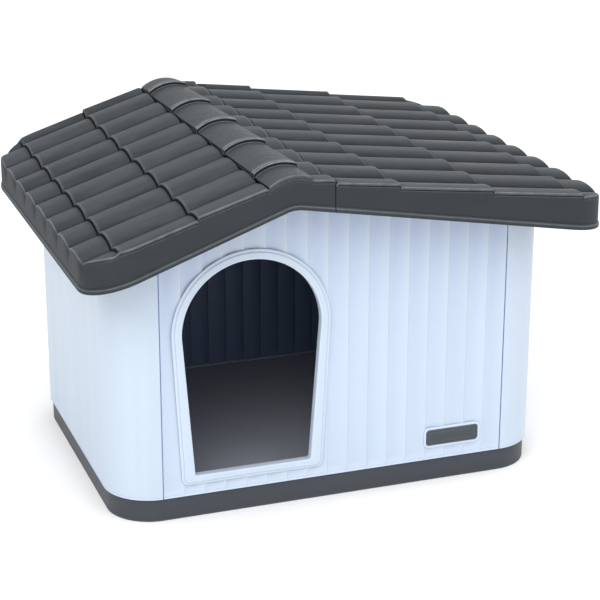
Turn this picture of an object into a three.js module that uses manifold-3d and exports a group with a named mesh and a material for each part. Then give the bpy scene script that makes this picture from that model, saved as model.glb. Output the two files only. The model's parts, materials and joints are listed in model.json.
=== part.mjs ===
// A plastic dog house with an uneven gable roof, in millimetres, +Z up. The front, with the doorway,
// faces -Y. Fluted front and rear panels stand between two smooth side walls that wrap round the
// corners. The short left roof panel is fixed and carries the ridge. The long right roof panel is a lid
// that turns about two pins beside the ridge. The pieces are drawn about the centre of the walls, and
// the whole house is then moved so that the roof's outline is centred on the origin, with the ground
// at z = 0.
import * as THREE from "three";
import { mergeVertices } from "three/addons/utils/BufferGeometryUtils.js";
import Module from "manifold-3d";

const wasm = await Module();
wasm.setup();

// ---------------------------------------------------------------- driving dimensions
const clearance = 0.3; // between two pieces that touch
const tiny = 0.5; // how far a cutting or joining solid runs past the face that it meets
const far = 50; // how far a solid that trims the whole house reaches past it

// walls
const bodyWidth = 950;
const bodyDepth = 696;
const bodyCornerRadius = 100;
const wallThickness = 3;
const flangeWidth = 22; // inward return at a wall's foot and at a panel's two ends
const flangeThickness = 3;
const fluteCount = 17;
const fluteDepth = 3.5;
const fluteSkew = 0.65; // under 1 puts a flute's deepest line left of its middle
const wallTopGap = 8; // from the lowest line of the tiles down to the top of the walls
const returnTopGap = 32; // the panel returns stop this far below the top of the walls

// base
const baseHeight = 50;
const baseInset = 5; // the walls stand this far proud of the base
const baseSkin = 3;
const ledgeWidth = 40; // from the walls' face to the inner edge of the ledge
const ledgeThickness = 5;
const rimHeight = flangeThickness; // flush with the walls' flange and the floor
const rimThickness = 3;
const baseRibThickness = 3;
const baseRibsAcross = 4;
const baseRibsAlong = 3;
const floorThickness = 3;

// doorway and its surround
const doorFromSeam = 191; // from the left seam of the front panel to the doorway's middle
const doorSillRise = 45; // from the top of the base to the sill
const doorHalfWidth = 124; // at the sill
const doorArchRise = 345.5; // from the top of the base to the arch's centre
const doorArchRadius = 146.5;
const doorCornerRadius = 14;
const surroundRise = 25; // from the top of the base to the surround's lower edge
const surroundHalfWidth = 151.5; // at its foot
const surroundArchRadius = 168;
const surroundCornerRadius = 22;
const surroundThickness = 5;
const sleeveThickness = 4;
const sleeveDepth = 17; // from the surround's face back through the panel

// name plate, which is bare
const plateWidth = 119;
const plateHeight = 35;
const plateFromSeam = 113.5; // from the right seam of the front panel to the plate's middle
const plateRise = 50.75; // from the top of the base to the plate's middle
const plateCornerRadius = 7;
const plateThickness = 2.6;
const plateBorder = 6;
const plateBorderRise = 2.5; // proud of the flutes
const plateRecess = 0.5; // the plate's face lies this far inside its border

// rear vent
const ventSlots = 5;
const ventSlotWidth = 90;
const ventSlotHeight = 7;
const ventPitch = 16;
const ventTopGap = 45; // from the top of the wall to the first slot

// roof outline
const overhangLeft = 66;
const overhangRight = 84;
const overhangEnds = 120;
const roofCornerRadius = 95;
const roofSkin = 3;
const skirtThickness = 4;
const beadProud = 2.5; // the bead along the skirt's lower edge
const beadHeight = 9;
const ridgeX = -135.7; // where the two lower edges of the skirt would meet
const skirtApex = 671;
const leftPitch = THREE.MathUtils.degToRad(20.06);
const rightPitch = THREE.MathUtils.degToRad(9.61);
const skirtBendRadius = 60;
const seamX = -52.5; // between the fixed roof panel and the lid
const supportThickness = 12; // ring inside the roof that rests on the walls

// roof tiles
const leftTileRise = 58; // from the skirt's lower edge to the tiles' lowest line, at the ridge
const rightTileRise = 46.2;
const rightTilePitch = THREE.MathUtils.degToRad(8.25);
const tilePitch = 103.43; // across the slope
const frontStrip = 72.4; // the part of a strip between the front verge and the first valley
const tileHeight = 11; // from valley to crest
const tileSegments = 4;
const courseStep = 6;
const leftCourse = 150;
const leftFirstCourse = 64.2;
const rightCourse = 200;
const rightFirstCourse = 77;
const seamStep = 4; // the fixed panel's last tile stands this far above the lid
const stepRun = 3; // a tile's end slopes down over this length

// ridge cap
const capOffset = 4.7; // from ridgeX to the crest line
const capRise = 65.5; // from skirtApex to the crest
const capLeftReach = 54;
const capRightReach = 30;
const capRadius = 85;
const capThickness = 4;
const capLip = 6.7;
const capLipRun = 2; // a lip rises over this length
const capPitch = 190;
const capFirst = 91; // the front cap is cut short
const capSegments = 6;
const tileShareAtCap = 0.65; // how much of the tiles' height is left where the cap covers them

// lid hinge
const hingeRadius = 12; // rounding of the lid's hinged edge, about the hinge line
const hingeNotch = 1.5; // room left in the walls' top edge for the lid's turning edge
const hingeBoss = 4.7;
const hingePin = 2;
const pinChamfer = 0.4;
const pinHeadHeight = 1.5;
const armThickness = 4;
const armHeight = 20;
const armReach = 110;
const armDrop = 16; // from the hinge line to the arm's upper edge
const armNeck = 7;
const lugThickness = 6;
const lugRadius = 5;
const armBoss = 5;
const armBossLength = 4.6;

// joining strips and fasteners
const stripThickness = 3.5;
const screwShank = 2;
const screwHead = 4.5;
const screwHeadHeight = 2.6;
const screwHeadTop = 0.8; // a head's top radius over its seat radius
const screwBite = 2; // how far a screw or pin stands in the last piece it enters
const screwSpread = 0.8; // how near to a panel's ends its outer screws stand
const stripScrewInset = 10; // from the panel's inner face to the joining screws
const washerHead = 7.5;
const baseScrewLength = 14;
const baseBossRadius = 6;
const roofTabWidth = 60;
const roofTabThickness = 3;
const roofTabDrop = 26;

// ---------------------------------------------------------------- derived places
const halfX = bodyWidth / 2;
const halfY = bodyDepth / 2;
const roofLeft = -(halfX + overhangLeft);
const roofRight = halfX + overhangRight;
const roofHalfY = halfY + overhangEnds;
const roofMidX = (roofLeft + roofRight) / 2;
const panelEndX = halfX - bodyCornerRadius; // the panels end where the corners begin
const doorCentreX = -panelEndX + doorFromSeam;
const plateCentreX = panelEndX - plateFromSeam;
const plateCentreZ = baseHeight + plateRise;
const doorSillHeight = baseHeight + doorSillRise;
const doorArchCentre = baseHeight + doorArchRise;
const surroundFoot = baseHeight + surroundRise;
const lidEdgeX = seamX + clearance;
const hingeX = lidEdgeX + hingeRadius;
const capX = ridgeX + capOffset;
const capLeft = capX - capLeftReach;
const capRight = capX + capRightReach;
const capCrest = skirtApex + capRise;
const firstValley = -roofHalfY + frontStrip;
const skirtInnerY = roofHalfY - beadProud - skirtThickness;
const wallFoot = baseHeight + clearance;
const flangeTop = wallFoot + flangeThickness;
const wellAbove = capCrest + 60;
const leftSlope = Math.tan(leftPitch);
const rightSlope = Math.tan(rightPitch);
const rightTileSlope = Math.tan(rightTilePitch);
const leftCourseSlope = leftSlope - courseStep / leftCourse;
const rightCourseSlope = rightTileSlope - courseStep / rightCourse;
const leftCourseEnds = courseEnds(roofLeft + leftFirstCourse, leftCourse, capLeft - 2 * stepRun);
const rightCourseEnds = courseEnds(roofRight - rightFirstCourse, -rightCourse, seamX + 2 * stepRun);
const hingeHeight = topRightCourse(lidEdgeX) + tileHeight - hingeRadius;

// ---------------------------------------------------------------- solids
function solid(geometry) {
  const bare = geometry.clone();
  bare.deleteAttribute("normal");
  bare.deleteAttribute("uv");
  const merged = mergeVertices(bare, 1e-3);
  const vertProperties = new Float32Array(merged.attributes.position.array);
  const triVerts = new Uint32Array(merged.index.array);
  return new wasm.Manifold(new wasm.Mesh({ numProp: 3, vertProperties, triVerts }));
}

function geometryOf(manifold) {
  const mesh = manifold.getMesh();
  const geometry = new THREE.BufferGeometry();
  geometry.setAttribute("position", new THREE.BufferAttribute(mesh.vertProperties, mesh.numProp));
  geometry.setIndex(new THREE.BufferAttribute(mesh.triVerts, 1));
  geometry.computeVertexNormals();
  return geometry;
}

function box(x0, x1, y0, y1, z0, z1) {
  const geometry = new THREE.BoxGeometry(x1 - x0, y1 - y0, z1 - z0);
  return solid(geometry.translate((x0 + x1) / 2, (y0 + y1) / 2, (z0 + z1) / 2));
}

// A shape drawn in X and Y, standing from z0 to z1.
function standing(shape, z0, z1, curveSegments = 7) {
  const geometry = new THREE.ExtrudeGeometry(shape, { depth: z1 - z0, bevelEnabled: false, curveSegments });
  return solid(geometry.translate(0, 0, z0));
}

// A shape drawn in X and Z, running from y0 to y1.
function running(shape, y0, y1, curveSegments = 8) {
  const geometry = new THREE.ExtrudeGeometry(shape, { depth: y1 - y0, bevelEnabled: false, curveSegments });
  return solid(geometry.rotateX(Math.PI / 2).translate(0, y1, 0));
}

// A round bar along "x", "y" or "z" between two places on that axis, through the other two places.
function bar(axis, radius, from, to, across, up, segments = 16) {
  const geometry = new THREE.CylinderGeometry(radius, radius, to - from, segments);
  const middle = (from + to) / 2;
  if (axis === "x") return solid(geometry.rotateZ(-Math.PI / 2).translate(middle, across, up));
  if (axis === "y") return solid(geometry.translate(across, middle, up));
  return solid(geometry.rotateX(Math.PI / 2).translate(across, up, middle));
}

// A closed solid between two height fields over a grid whose lines rise strictly.
function grid(xs, ys, top, bottom) {
  const position = [];
  const index = [];
  const columns = xs.length;
  const rows = ys.length;
  const layer = columns * rows;
  for (const height of [top, bottom]) {
    for (const y of ys) {
      for (const x of xs) position.push(x, y, height(x, y));
    }
  }
  const quad = (a, b, c, d) => index.push(a, b, c, a, c, d);
  for (let j = 0; j + 1 < rows; j++) {
    for (let i = 0; i + 1 < columns; i++) {
      const a = j * columns + i;
      const c = a + columns + 1;
      quad(a, a + 1, c, c - 1);
      quad(layer + a, layer + c - 1, layer + c, layer + a + 1);
    }
  }
  for (let i = 0; i + 1 < columns; i++) {
    const back = (rows - 1) * columns + i;
    quad(layer + i, layer + i + 1, i + 1, i);
    quad(back, back + 1, layer + back + 1, layer + back);
  }
  for (let j = 0; j + 1 < rows; j++) {
    const left = j * columns;
    const right = left + columns - 1;
    quad(left, left + columns, layer + left + columns, layer + left);
    quad(layer + right, layer + right + columns, right + columns, right);
  }
  const geometry = new THREE.BufferGeometry();
  geometry.setAttribute("position", new THREE.Float32BufferAttribute(position, 3));
  geometry.setIndex(index);
  return solid(geometry);
}

function roundedRectangle(centreX, centreY, width, height, radius) {
  const shape = new THREE.Shape();
  const x = width / 2 - radius;
  const y = height / 2 - radius;
  shape.absarc(centreX + x, centreY + y, radius, 0, Math.PI / 2, false);
  shape.absarc(centreX - x, centreY + y, radius, Math.PI / 2, Math.PI, false);
  shape.absarc(centreX - x, centreY - y, radius, Math.PI, 1.5 * Math.PI, false);
  shape.absarc(centreX + x, centreY - y, radius, 1.5 * Math.PI, 2 * Math.PI, false);
  return shape;
}

function polygon(points) {
  return new THREE.Shape(points.map(([x, y]) => new THREE.Vector2(x, y)));
}

// The outline of the walls seen from above, drawn in by an inset.
function bodyOutline(inset) {
  const radius = bodyCornerRadius - inset;
  return roundedRectangle(0, 0, bodyWidth - 2 * inset, bodyDepth - 2 * inset, radius);
}

function bodyRing(outerInset, innerInset, z0, z1) {
  const hole = standing(bodyOutline(innerInset), z0 - tiny, z1 + tiny);
  return standing(bodyOutline(outerInset), z0, z1).subtract(hole);
}

function roofOutline(inset) {
  const width = roofRight - roofLeft - 2 * inset;
  const radius = roofCornerRadius - inset;
  return roundedRectangle(roofMidX, 0, width, 2 * (roofHalfY - inset), radius);
}

// ---------------------------------------------------------------- roof lines
// The tiles' lowest line on each slope, where the courses end.
function leftLow(x) {
  return skirtApex + leftTileRise - leftSlope * (ridgeX - x);
}

function rightLow(x) {
  return skirtApex + rightTileRise - rightTileSlope * (x - ridgeX);
}

// Where the courses of a slope end, from the one at its eave up to a limit.
function courseEnds(first, pitch, limit) {
  const count = Math.max(1, Math.ceil((limit - first) / pitch));
  return Array.from({ length: count }, (_, i) => first + i * pitch);
}

// The valley height of the highest course of the right slope.
function topRightCourse(x) {
  const end = rightCourseEnds.at(-1);
  return rightLow(end) + courseStep + rightCourseSlope * (end - x);
}

// The valley line of the tiles from left to right: x, height, share of the tile height, and the side
// of the upper tile (-1 or 1) where a tile ends there.
function tileLine() {
  const over = 20;
  const eaveLeft = leftLow(leftCourseEnds[0]) - leftCourseSlope * (leftFirstCourse + over);
  const left = [{ x: roofLeft - over, z: eaveLeft }];
  for (const x of leftCourseEnds) {
    left.push({ x: x - stepRun, z: leftLow(x) - leftCourseSlope * stepRun, upper: 1 });
    left.push({ x, z: leftLow(x) + courseStep, upper: 1 });
  }
  const last = leftCourseEnds.at(-1);
  const beside = capLeft - clearance - 1;
  const besideHeight = leftLow(last) + courseStep + leftCourseSlope * (beside - last);
  left.push({ x: beside, z: besideHeight, share: tileShareAtCap });

  const eaveRight = rightLow(rightCourseEnds[0]) - rightCourseSlope * (rightFirstCourse + over);
  const right = [{ x: roofRight + over, z: eaveRight }];
  for (const x of rightCourseEnds) {
    right.push({ x: x + stepRun, z: rightLow(x) - rightCourseSlope * stepRun, upper: -1 });
    right.push({ x, z: rightLow(x) + courseStep, upper: -1 });
  }
  const pastCap = capRight + clearance + 1;
  right.push({ x: seamX + tiny, z: topRightCourse(seamX + tiny) });
  right.push({ x: seamX, z: topRightCourse(seamX), upper: -1 });
  right.push({ x: seamX - stepRun, z: topRightCourse(seamX - stepRun) + seamStep, upper: -1 });
  right.push({ x: pastCap, z: topRightCourse(pastCap) + seamStep });

  const under = [];
  for (let i = 0; i <= capSegments; i++) {
    const from = capLeft - clearance;
    const x = from + ((capRight + clearance - from) * i) / capSegments;
    under.push({ x, z: capHeight(x) - capThickness - clearance, share: 0 });
  }
  return [...left, ...under, ...right.reverse()].map((point) => ({ share: 1, upper: 0, ...point }));
}

function capHeight(x) {
  const across = x - capX;
  return capCrest - capRadius + Math.sqrt(capRadius * capRadius - across * across);
}

const line = tileLine();

function wave(y) {
  const strips = (y - firstValley) / tilePitch;
  const across = 2 * (strips - Math.floor(strips)) - 1;
  return tileHeight * (1 - across * across);
}

function tileRows() {
  const step = tilePitch / tileSegments;
  const rows = [];
  const first = Math.floor((-roofHalfY - tiny - firstValley) / step);
  for (let k = first; firstValley + (k - 1) * step < roofHalfY; k++) rows.push(firstValley + k * step);
  return rows;
}

// Everything below the tiles' surface, sunk by a depth. The ends of the tiles move by as much towards
// the upper tile, so that the skin keeps its thickness there.
function belowTiles(depth) {
  const moved = new Map(line.map((point) => [point.x + point.upper * depth, point]));
  const height = (x, y) => moved.get(x).z + moved.get(x).share * wave(y) - depth;
  return grid([...moved.keys()], tileRows(), height, () => -far);
}

function skirtHeight(x) {
  return skirtApex - (x < ridgeX ? leftSlope * (ridgeX - x) : rightSlope * (x - ridgeX));
}

// The space under a line parallel to the skirt's lower edge, with the bend at the ridge rounded.
function belowSkirtLine(rise) {
  const reach = skirtBendRadius * Math.tan((leftPitch + rightPitch) / 2);
  const from = ridgeX - reach * Math.cos(leftPitch);
  const to = ridgeX + reach * Math.cos(rightPitch);
  const shape = new THREE.Shape();
  shape.moveTo(roofLeft - far, -2 * far);
  shape.lineTo(roofRight + far, -2 * far);
  shape.lineTo(roofRight + far, skirtHeight(roofRight + far) + rise);
  shape.lineTo(to, skirtHeight(to) + rise);
  shape.quadraticCurveTo(ridgeX, skirtApex + rise, from, skirtHeight(from) + rise);
  shape.lineTo(roofLeft - far, skirtHeight(roofLeft - far) + rise);
  return running(shape, -roofHalfY - far, roofHalfY + far, 6);
}

// The line that the tops of the walls follow, a set distance under the tiles' lowest line.
function wallTop(x) {
  return Math.min(leftLow(x), rightLow(x)) - wallTopGap;
}

function wallPeakX() {
  return ridgeX + (rightTileRise - leftTileRise) / (leftSlope + rightTileSlope);
}

// The space under the walls' top line, lifted by a rise.
function belowWallTop(rise) {
  const peak = wallPeakX();
  const edge = halfX + far;
  const points = [
    [-edge, -2 * far],
    [edge, -2 * far],
    [edge, wallTop(edge) + rise],
    [peak, wallTop(peak) + rise],
    [-edge, wallTop(-edge) + rise],
  ];
  return running(polygon(points), -halfY - tiny, halfY + tiny);
}

// ---------------------------------------------------------------- base
function baseScrewPlaces() {
  const inset = flangeWidth / 2 + 1;
  const places = [];
  for (const side of [-1, 1]) {
    const front = side < 0 ? "front" : "rear";
    const left = side < 0 ? "left" : "right";
    for (const end of [-1, 1]) {
      const x = end * panelEndX * screwSpread;
      places.push([`${front}_${end < 0 ? "a" : "b"}`, x, side * (halfY - inset)]);
      const along = end * (halfY - bodyCornerRadius) * screwSpread;
      places.push([`${left}_${end < 0 ? "a" : "b"}`, side * (halfX - inset), along]);
    }
  }
  return places;
}

function baseTray() {
  let tray = standing(bodyOutline(baseInset), 0, baseHeight);
  const cavityTop = baseHeight - ledgeThickness;
  tray = tray.subtract(standing(bodyOutline(baseInset + baseSkin), baseSkin, cavityTop));
  tray = tray.subtract(standing(bodyOutline(ledgeWidth), cavityTop - tiny, baseHeight + tiny));
  const rimInset = flangeWidth + 2 * clearance;
  tray = tray.add(bodyRing(rimInset, rimInset + rimThickness, baseHeight - tiny, baseHeight + rimHeight));
  const half = baseRibThickness / 2;
  const ribX = halfX - baseInset - 1;
  const ribY = halfY - baseInset - 1;
  for (let i = 1; i <= baseRibsAcross; i++) {
    const x = -halfX + (bodyWidth * i) / (baseRibsAcross + 1);
    tray = tray.add(box(x - half, x + half, -ribY, ribY, baseSkin - tiny, baseHeight - clearance));
  }
  for (let i = 1; i <= baseRibsAlong; i++) {
    const y = -halfY + (bodyDepth * i) / (baseRibsAlong + 1);
    tray = tray.add(box(-ribX, ribX, y - half, y + half, baseSkin - tiny, baseHeight - clearance));
  }
  for (const [, x, y] of baseScrewPlaces()) {
    const holeFoot = flangeTop - baseScrewLength - 1;
    const boss = bar("z", baseBossRadius, holeFoot - 4, baseHeight - tiny, x, y, 12);
    tray = tray.add(boss).subtract(bar("z", screwShank + clearance, holeFoot, baseHeight + tiny, x, y, 8));
  }
  return tray;
}

function floorPanel() {
  const inset = flangeWidth + rimThickness + 4 * clearance;
  return standing(bodyOutline(inset), baseHeight + clearance, baseHeight + clearance + floorThickness);
}

// ---------------------------------------------------------------- walls
function flangeHoles(wall) {
  for (const [, x, y] of baseScrewPlaces()) {
    wall = wall.subtract(bar("z", screwShank + clearance, wallFoot - tiny, flangeTop + tiny, x, y, 8));
  }
  return wall;
}

function returnTop() {
  return wallTop(-panelEndX) - returnTopGap;
}

// A joining screw runs along X through both returns of a seam.
function stripScrewHeights() {
  const foot = baseHeight + rimHeight;
  return [0.2, 0.8].map((share) => foot + (returnTop() - foot) * share);
}

function seamScrewY(end) {
  return end * (halfY - wallThickness - stripScrewInset);
}

function returnHoles(wall, side) {
  for (const end of [-1, 1]) {
    for (const z of stripScrewHeights()) {
      const span = [side * panelEndX - flangeWidth, side * panelEndX + flangeWidth];
      wall = wall.subtract(bar("x", screwShank + clearance, ...span, seamScrewY(end), z, 8));
    }
  }
  return wall;
}

function sideWall(side) {
  const edge = panelEndX + clearance / 2;
  const half = side < 0 ? [-halfX - far, -edge] : [edge, halfX + far];
  const region = box(...half, -halfY - tiny, halfY + tiny, 0, wellAbove);
  const sheet = bodyRing(0, wallThickness, wallFoot, wellAbove - 1);
  const flange = bodyRing(0, flangeWidth, wallFoot, flangeTop);
  let wall = sheet.add(flange);
  for (const end of [-1, 1]) {
    const y = [end * (halfY - tiny), end * (halfY - flangeWidth)].sort((a, b) => a - b);
    const x = side < 0 ? [-edge - wallThickness, -edge] : [edge, edge + wallThickness];
    wall = wall.add(box(...x, ...y, wallFoot, returnTop()));
  }
  wall = wall.intersect(region).intersect(belowWallTop(0));
  wall = returnHoles(flangeHoles(wall), side);
  return side < 0 ? roofScrewHoles(wall) : wall;
}

// How far the fluted face lies inside the walls' outline.
function fluteInset(x) {
  const across = ((x + panelEndX) / (2 * panelEndX)) * fluteCount;
  const share = across - Math.floor(across + 1e-9);
  return fluteDepth * Math.sin(Math.PI * Math.pow(Math.max(share, 0), fluteSkew));
}

function flutedSheet() {
  const edge = panelEndX - clearance / 2;
  const perFlute = 4;
  const count = fluteCount * perFlute;
  const outer = [];
  for (let i = 0; i <= count; i++) {
    const x = THREE.MathUtils.clamp(-panelEndX + (2 * panelEndX * i) / count, -edge, edge);
    const ridge = i % perFlute === 0;
    outer.push([x, -halfY + (ridge ? 0 : fluteInset(x))]);
  }
  const inner = outer.map(([x, y]) => [x, y + wallThickness]).reverse();
  return standing(polygon([...outer, ...inner]), wallFoot, wellAbove);
}

// The front and rear panels before their own openings are cut. The rear one is the front one turned round.
function flutedPanel() {
  const edge = panelEndX - clearance / 2;
  const inside = -halfY + flangeWidth;
  let panel = flutedSheet();
  panel = panel.add(box(-edge, edge, -halfY, inside, wallFoot, flangeTop));
  for (const side of [-1, 1]) {
    const x = side < 0 ? [-edge, -edge + wallThickness] : [edge - wallThickness, edge];
    panel = panel.add(box(...x, -halfY, inside, wallFoot, returnTop()));
  }
  return panel;
}

function finishedPanel(panel) {
  const sweep = hingeRadius + hingeNotch;
  const notch = bar("y", sweep, -halfY - tiny, halfY + tiny, hingeX, hingeHeight, 24);
  const trimmed = panel.intersect(belowWallTop(0)).subtract(notch);
  return returnHoles(returnHoles(flangeHoles(trimmed), -1), 1);
}

function doorOutline(halfWidth, foot, archRadius, cornerRadius) {
  const shape = new THREE.Shape();
  const x = doorCentreX;
  shape.moveTo(x - halfWidth + cornerRadius, foot);
  shape.lineTo(x + halfWidth - cornerRadius, foot);
  shape.quadraticCurveTo(x + halfWidth, foot, x + halfWidth, foot + cornerRadius);
  shape.lineTo(x + archRadius, doorArchCentre);
  shape.absarc(x, doorArchCentre, archRadius, 0, Math.PI, false);
  shape.lineTo(x - halfWidth, foot + cornerRadius);
  shape.quadraticCurveTo(x - halfWidth, foot, x - halfWidth + cornerRadius, foot);
  return shape;
}

function doorOpening(offset) {
  const radius = doorCornerRadius + offset;
  return doorOutline(doorHalfWidth + offset, doorSillHeight - offset, doorArchRadius + offset, radius);
}

function plateOutline(grow) {
  const radius = plateCornerRadius + grow;
  const size = [plateWidth + 2 * grow, plateHeight + 2 * grow];
  return roundedRectangle(plateCentreX, plateCentreZ, ...size, radius);
}

function plateFaceY() {
  return -halfY - plateBorderRise + plateRecess;
}

function frontWall() {
  let panel = flutedPanel();
  const padFront = -halfY - plateBorderRise;
  const plateBack = plateFaceY() + plateThickness + clearance;
  panel = panel.add(running(plateOutline(plateBorder), padFront, plateBack + wallThickness, 4));
  panel = panel.subtract(running(plateOutline(clearance), padFront - tiny, plateBack, 4));
  const cut = running(doorOpening(sleeveThickness + clearance), padFront - tiny, -halfY + flangeWidth, 12);
  return finishedPanel(panel.subtract(cut));
}

function rearWall() {
  const turned = new THREE.Matrix4().makeRotationZ(Math.PI);
  const geometry = geometryOf(flutedPanel()).applyMatrix4(turned);
  let panel = solid(geometry);
  const peak = wallPeakX();
  for (let i = 0; i < ventSlots; i++) {
    const z = wallTop(peak) - ventTopGap - i * ventPitch;
    const x = [peak - ventSlotWidth / 2, peak + ventSlotWidth / 2];
    const y = [halfY - wallThickness - fluteDepth - tiny, halfY + tiny];
    panel = panel.subtract(box(...x, ...y, z - ventSlotHeight, z));
  }
  return finishedPanel(panel);
}

function doorSurround() {
  const back = -halfY - clearance;
  const face = back - surroundThickness;
  const rim = doorOutline(surroundHalfWidth, surroundFoot, surroundArchRadius, surroundCornerRadius);
  const frame = running(rim, face, back, 12);
  const sleeve = running(doorOpening(sleeveThickness), face, face + sleeveDepth, 12);
  return frame.add(sleeve).subtract(running(doorOpening(0), face - tiny, face + sleeveDepth + tiny, 12));
}

function namePlate() {
  return running(plateOutline(0), plateFaceY(), plateFaceY() + plateThickness, 4);
}

// A channel that grips the two returns at a seam from inside. Its section is drawn for the front left seam.
function joiningStrip(side, end) {
  const centre = side * panelEndX;
  const grip = wallThickness + clearance / 2 + clearance;
  const outer = grip + stripThickness;
  const mouth = halfY - wallThickness - fluteDepth - 1;
  const seat = halfY - flangeWidth - clearance;
  const z = [baseHeight + rimHeight + 2, returnTop()];
  const span = (a, b) => [end * a, end * b].sort((p, q) => p - q);
  let strip = box(centre - outer, centre + outer, ...span(mouth, seat - stripThickness), ...z);
  const past = [z[0] - tiny, z[1] + tiny];
  strip = strip.subtract(box(centre - grip, centre + grip, ...span(mouth + tiny, seat), ...past));
  return returnHoles(strip, side);
}

// ---------------------------------------------------------------- roof
// The whole roof moulding before it is split at the seam.
function roofShell() {
  const tiles = belowTiles(0);
  const skirt = standing(roofOutline(beadProud), 0, wellAbove);
  const bead = standing(roofOutline(0), 0, wellAbove).intersect(belowSkirtLine(beadHeight));
  let roof = skirt.add(bead).intersect(tiles).subtract(belowSkirtLine(0));
  const room = standing(roofOutline(beadProud + skirtThickness), 0, wellAbove);
  roof = roof.subtract(room.intersect(belowTiles(roofSkin)));
  const support = bodyRing(0, supportThickness, 0, wellAbove);
  return roof.add(support.subtract(belowWallTop(clearance)).intersect(belowTiles(1)));
}

function roofScrewPlaces() {
  return [-1, 0, 1].map((k) => k * (halfY - bodyCornerRadius) * screwSpread);
}

function roofScrewHeight() {
  return wallTop(-halfX) - roofTabDrop / 2 - 2;
}

function roofScrewHoles(wall) {
  for (const y of roofScrewPlaces()) {
    const span = [-halfX + wallThickness - screwBite, -halfX + wallThickness + tiny];
    wall = wall.subtract(bar("x", screwShank + clearance, ...span, y, roofScrewHeight(), 8));
  }
  return wall;
}

function armScrewPlaces() {
  return [0.35, 0.85].map((share) => hingeX - armReach * share);
}

function armMiddle() {
  return hingeHeight - armDrop - armHeight / 2;
}

function roofLeftPanel(shell) {
  let panel = shell.intersect(box(roofLeft - far, seamX, -roofHalfY - far, roofHalfY + far, 0, wellAbove));
  const tabX = -halfX + wallThickness + 2 * clearance;
  const tabTop = wallTop(-halfX) + roofTabThickness;
  const tabHole = [tabX - tiny, tabX + roofTabThickness + tiny];
  for (const y of roofScrewPlaces()) {
    const foot = wallTop(-halfX) - roofTabDrop;
    const span = [y - roofTabWidth / 2, y + roofTabWidth / 2];
    panel = panel.add(box(tabX, tabX + roofTabThickness, ...span, foot, tabTop));
    panel = panel.subtract(bar("x", screwShank + clearance, ...tabHole, y, roofScrewHeight(), 8));
  }
  for (const end of [-1, 1]) {
    for (const x of armScrewPlaces()) {
      const bossEnd = skirtInnerY - armBossLength;
      const boss = [end * (skirtInnerY + tiny), end * bossEnd].sort((a, b) => a - b);
      const hole = [end * (skirtInnerY + screwBite), end * (bossEnd - tiny)].sort((a, b) => a - b);
      panel = panel.add(bar("y", armBoss, ...boss, x, armMiddle()));
      panel = panel.subtract(bar("y", screwShank + clearance, ...hole, x, armMiddle(), 8));
    }
  }
  return panel;
}

// Places along Y at one end of the house: the arm lies against the skirt, and the lid's lug inside the arm.
function hingePlaces(end) {
  const armOuter = skirtInnerY - clearance;
  const armInner = armOuter - armThickness;
  const lugOuter = armInner - clearance;
  const lugInner = lugOuter - lugThickness;
  const place = (a, b) => [end * a, end * b].sort((p, q) => p - q);
  return { arm: place(armOuter, armInner), lug: place(lugOuter, lugInner), lugInner, armInner };
}

function roofLid(shell) {
  const depth = roofHalfY + far;
  let lid = shell.intersect(box(lidEdgeX, roofRight + far, -depth, depth, 0, wellAbove));
  for (const end of [-1, 1]) {
    const { arm, lug, lugInner } = hingePlaces(end);
    const shape = polygon([
      [hingeX - lugRadius, hingeHeight],
      [hingeX + lugRadius, hingeHeight],
      [hingeX + 2 * lugRadius, wellAbove],
      [hingeX - lugRadius, wellAbove],
    ]);
    const ear = running(shape, ...lug).intersect(belowTiles(1));
    lid = lid.add(ear).add(bar("y", lugRadius, ...lug, hingeX, hingeHeight));
    lid = lid.subtract(bar("y", hingeBoss + 2 * clearance, ...arm, hingeX, hingeHeight));
    const hole = [end * (skirtInnerY + screwBite), end * (lugInner - tiny)].sort((a, b) => a - b);
    lid = lid.subtract(bar("y", hingePin + clearance, ...hole, hingeX, hingeHeight, 12));
    const headRoom = [end * lugInner, end * (lugInner - 2 * pinHeadHeight)].sort((a, b) => a - b);
    lid = lid.subtract(bar("y", 2 * hingePin + clearance, ...headRoom, hingeX, hingeHeight));
  }
  const edge = [-roofHalfY - far, roofHalfY + far];
  const above = box(lidEdgeX - far, hingeX, ...edge, hingeHeight, wellAbove);
  const below = [hingeHeight - 2 * hingeRadius, hingeHeight + tiny];
  const corner = above.add(box(lidEdgeX - far, hingeX, -halfY - 1, halfY + 1, ...below));
  return lid.subtract(corner.subtract(bar("y", hingeRadius, ...edge, hingeX, hingeHeight, 48)));
}

function hingeArm(end) {
  const { arm } = hingePlaces(end);
  const top = hingeHeight - armDrop;
  const points = [
    [hingeX, hingeHeight],
    [hingeX, top],
    [hingeX - armReach, top],
    [hingeX - armReach, top - armHeight],
    [hingeX + armNeck, top - armHeight],
    [hingeX + armNeck, top],
    [hingeX + hingeBoss * 0.8, hingeHeight],
  ];
  let plate = running(polygon(points.reverse()), ...arm);
  plate = plate.add(bar("y", hingeBoss, ...arm, hingeX, hingeHeight));
  const past = [arm[0] - tiny, arm[1] + tiny];
  plate = plate.subtract(bar("y", hingePin + clearance, ...past, hingeX, hingeHeight, 12));
  for (const x of armScrewPlaces()) {
    plate = plate.subtract(bar("y", armBoss + clearance, ...past, x, armMiddle()));
  }
  return plate;
}

// The saw-tooth rise of the ridge caps: each cap is high at its front end.
function capRiseAt(y) {
  const fromFront = y + roofHalfY + capPitch - capFirst;
  const share = fromFront / capPitch - Math.floor(fromFront / capPitch);
  const lipShare = capLipRun / capPitch;
  if (share > 1 - lipShare) return (capLip * (share - 1 + lipShare)) / lipShare;
  return capLip * (1 - share);
}

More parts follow.
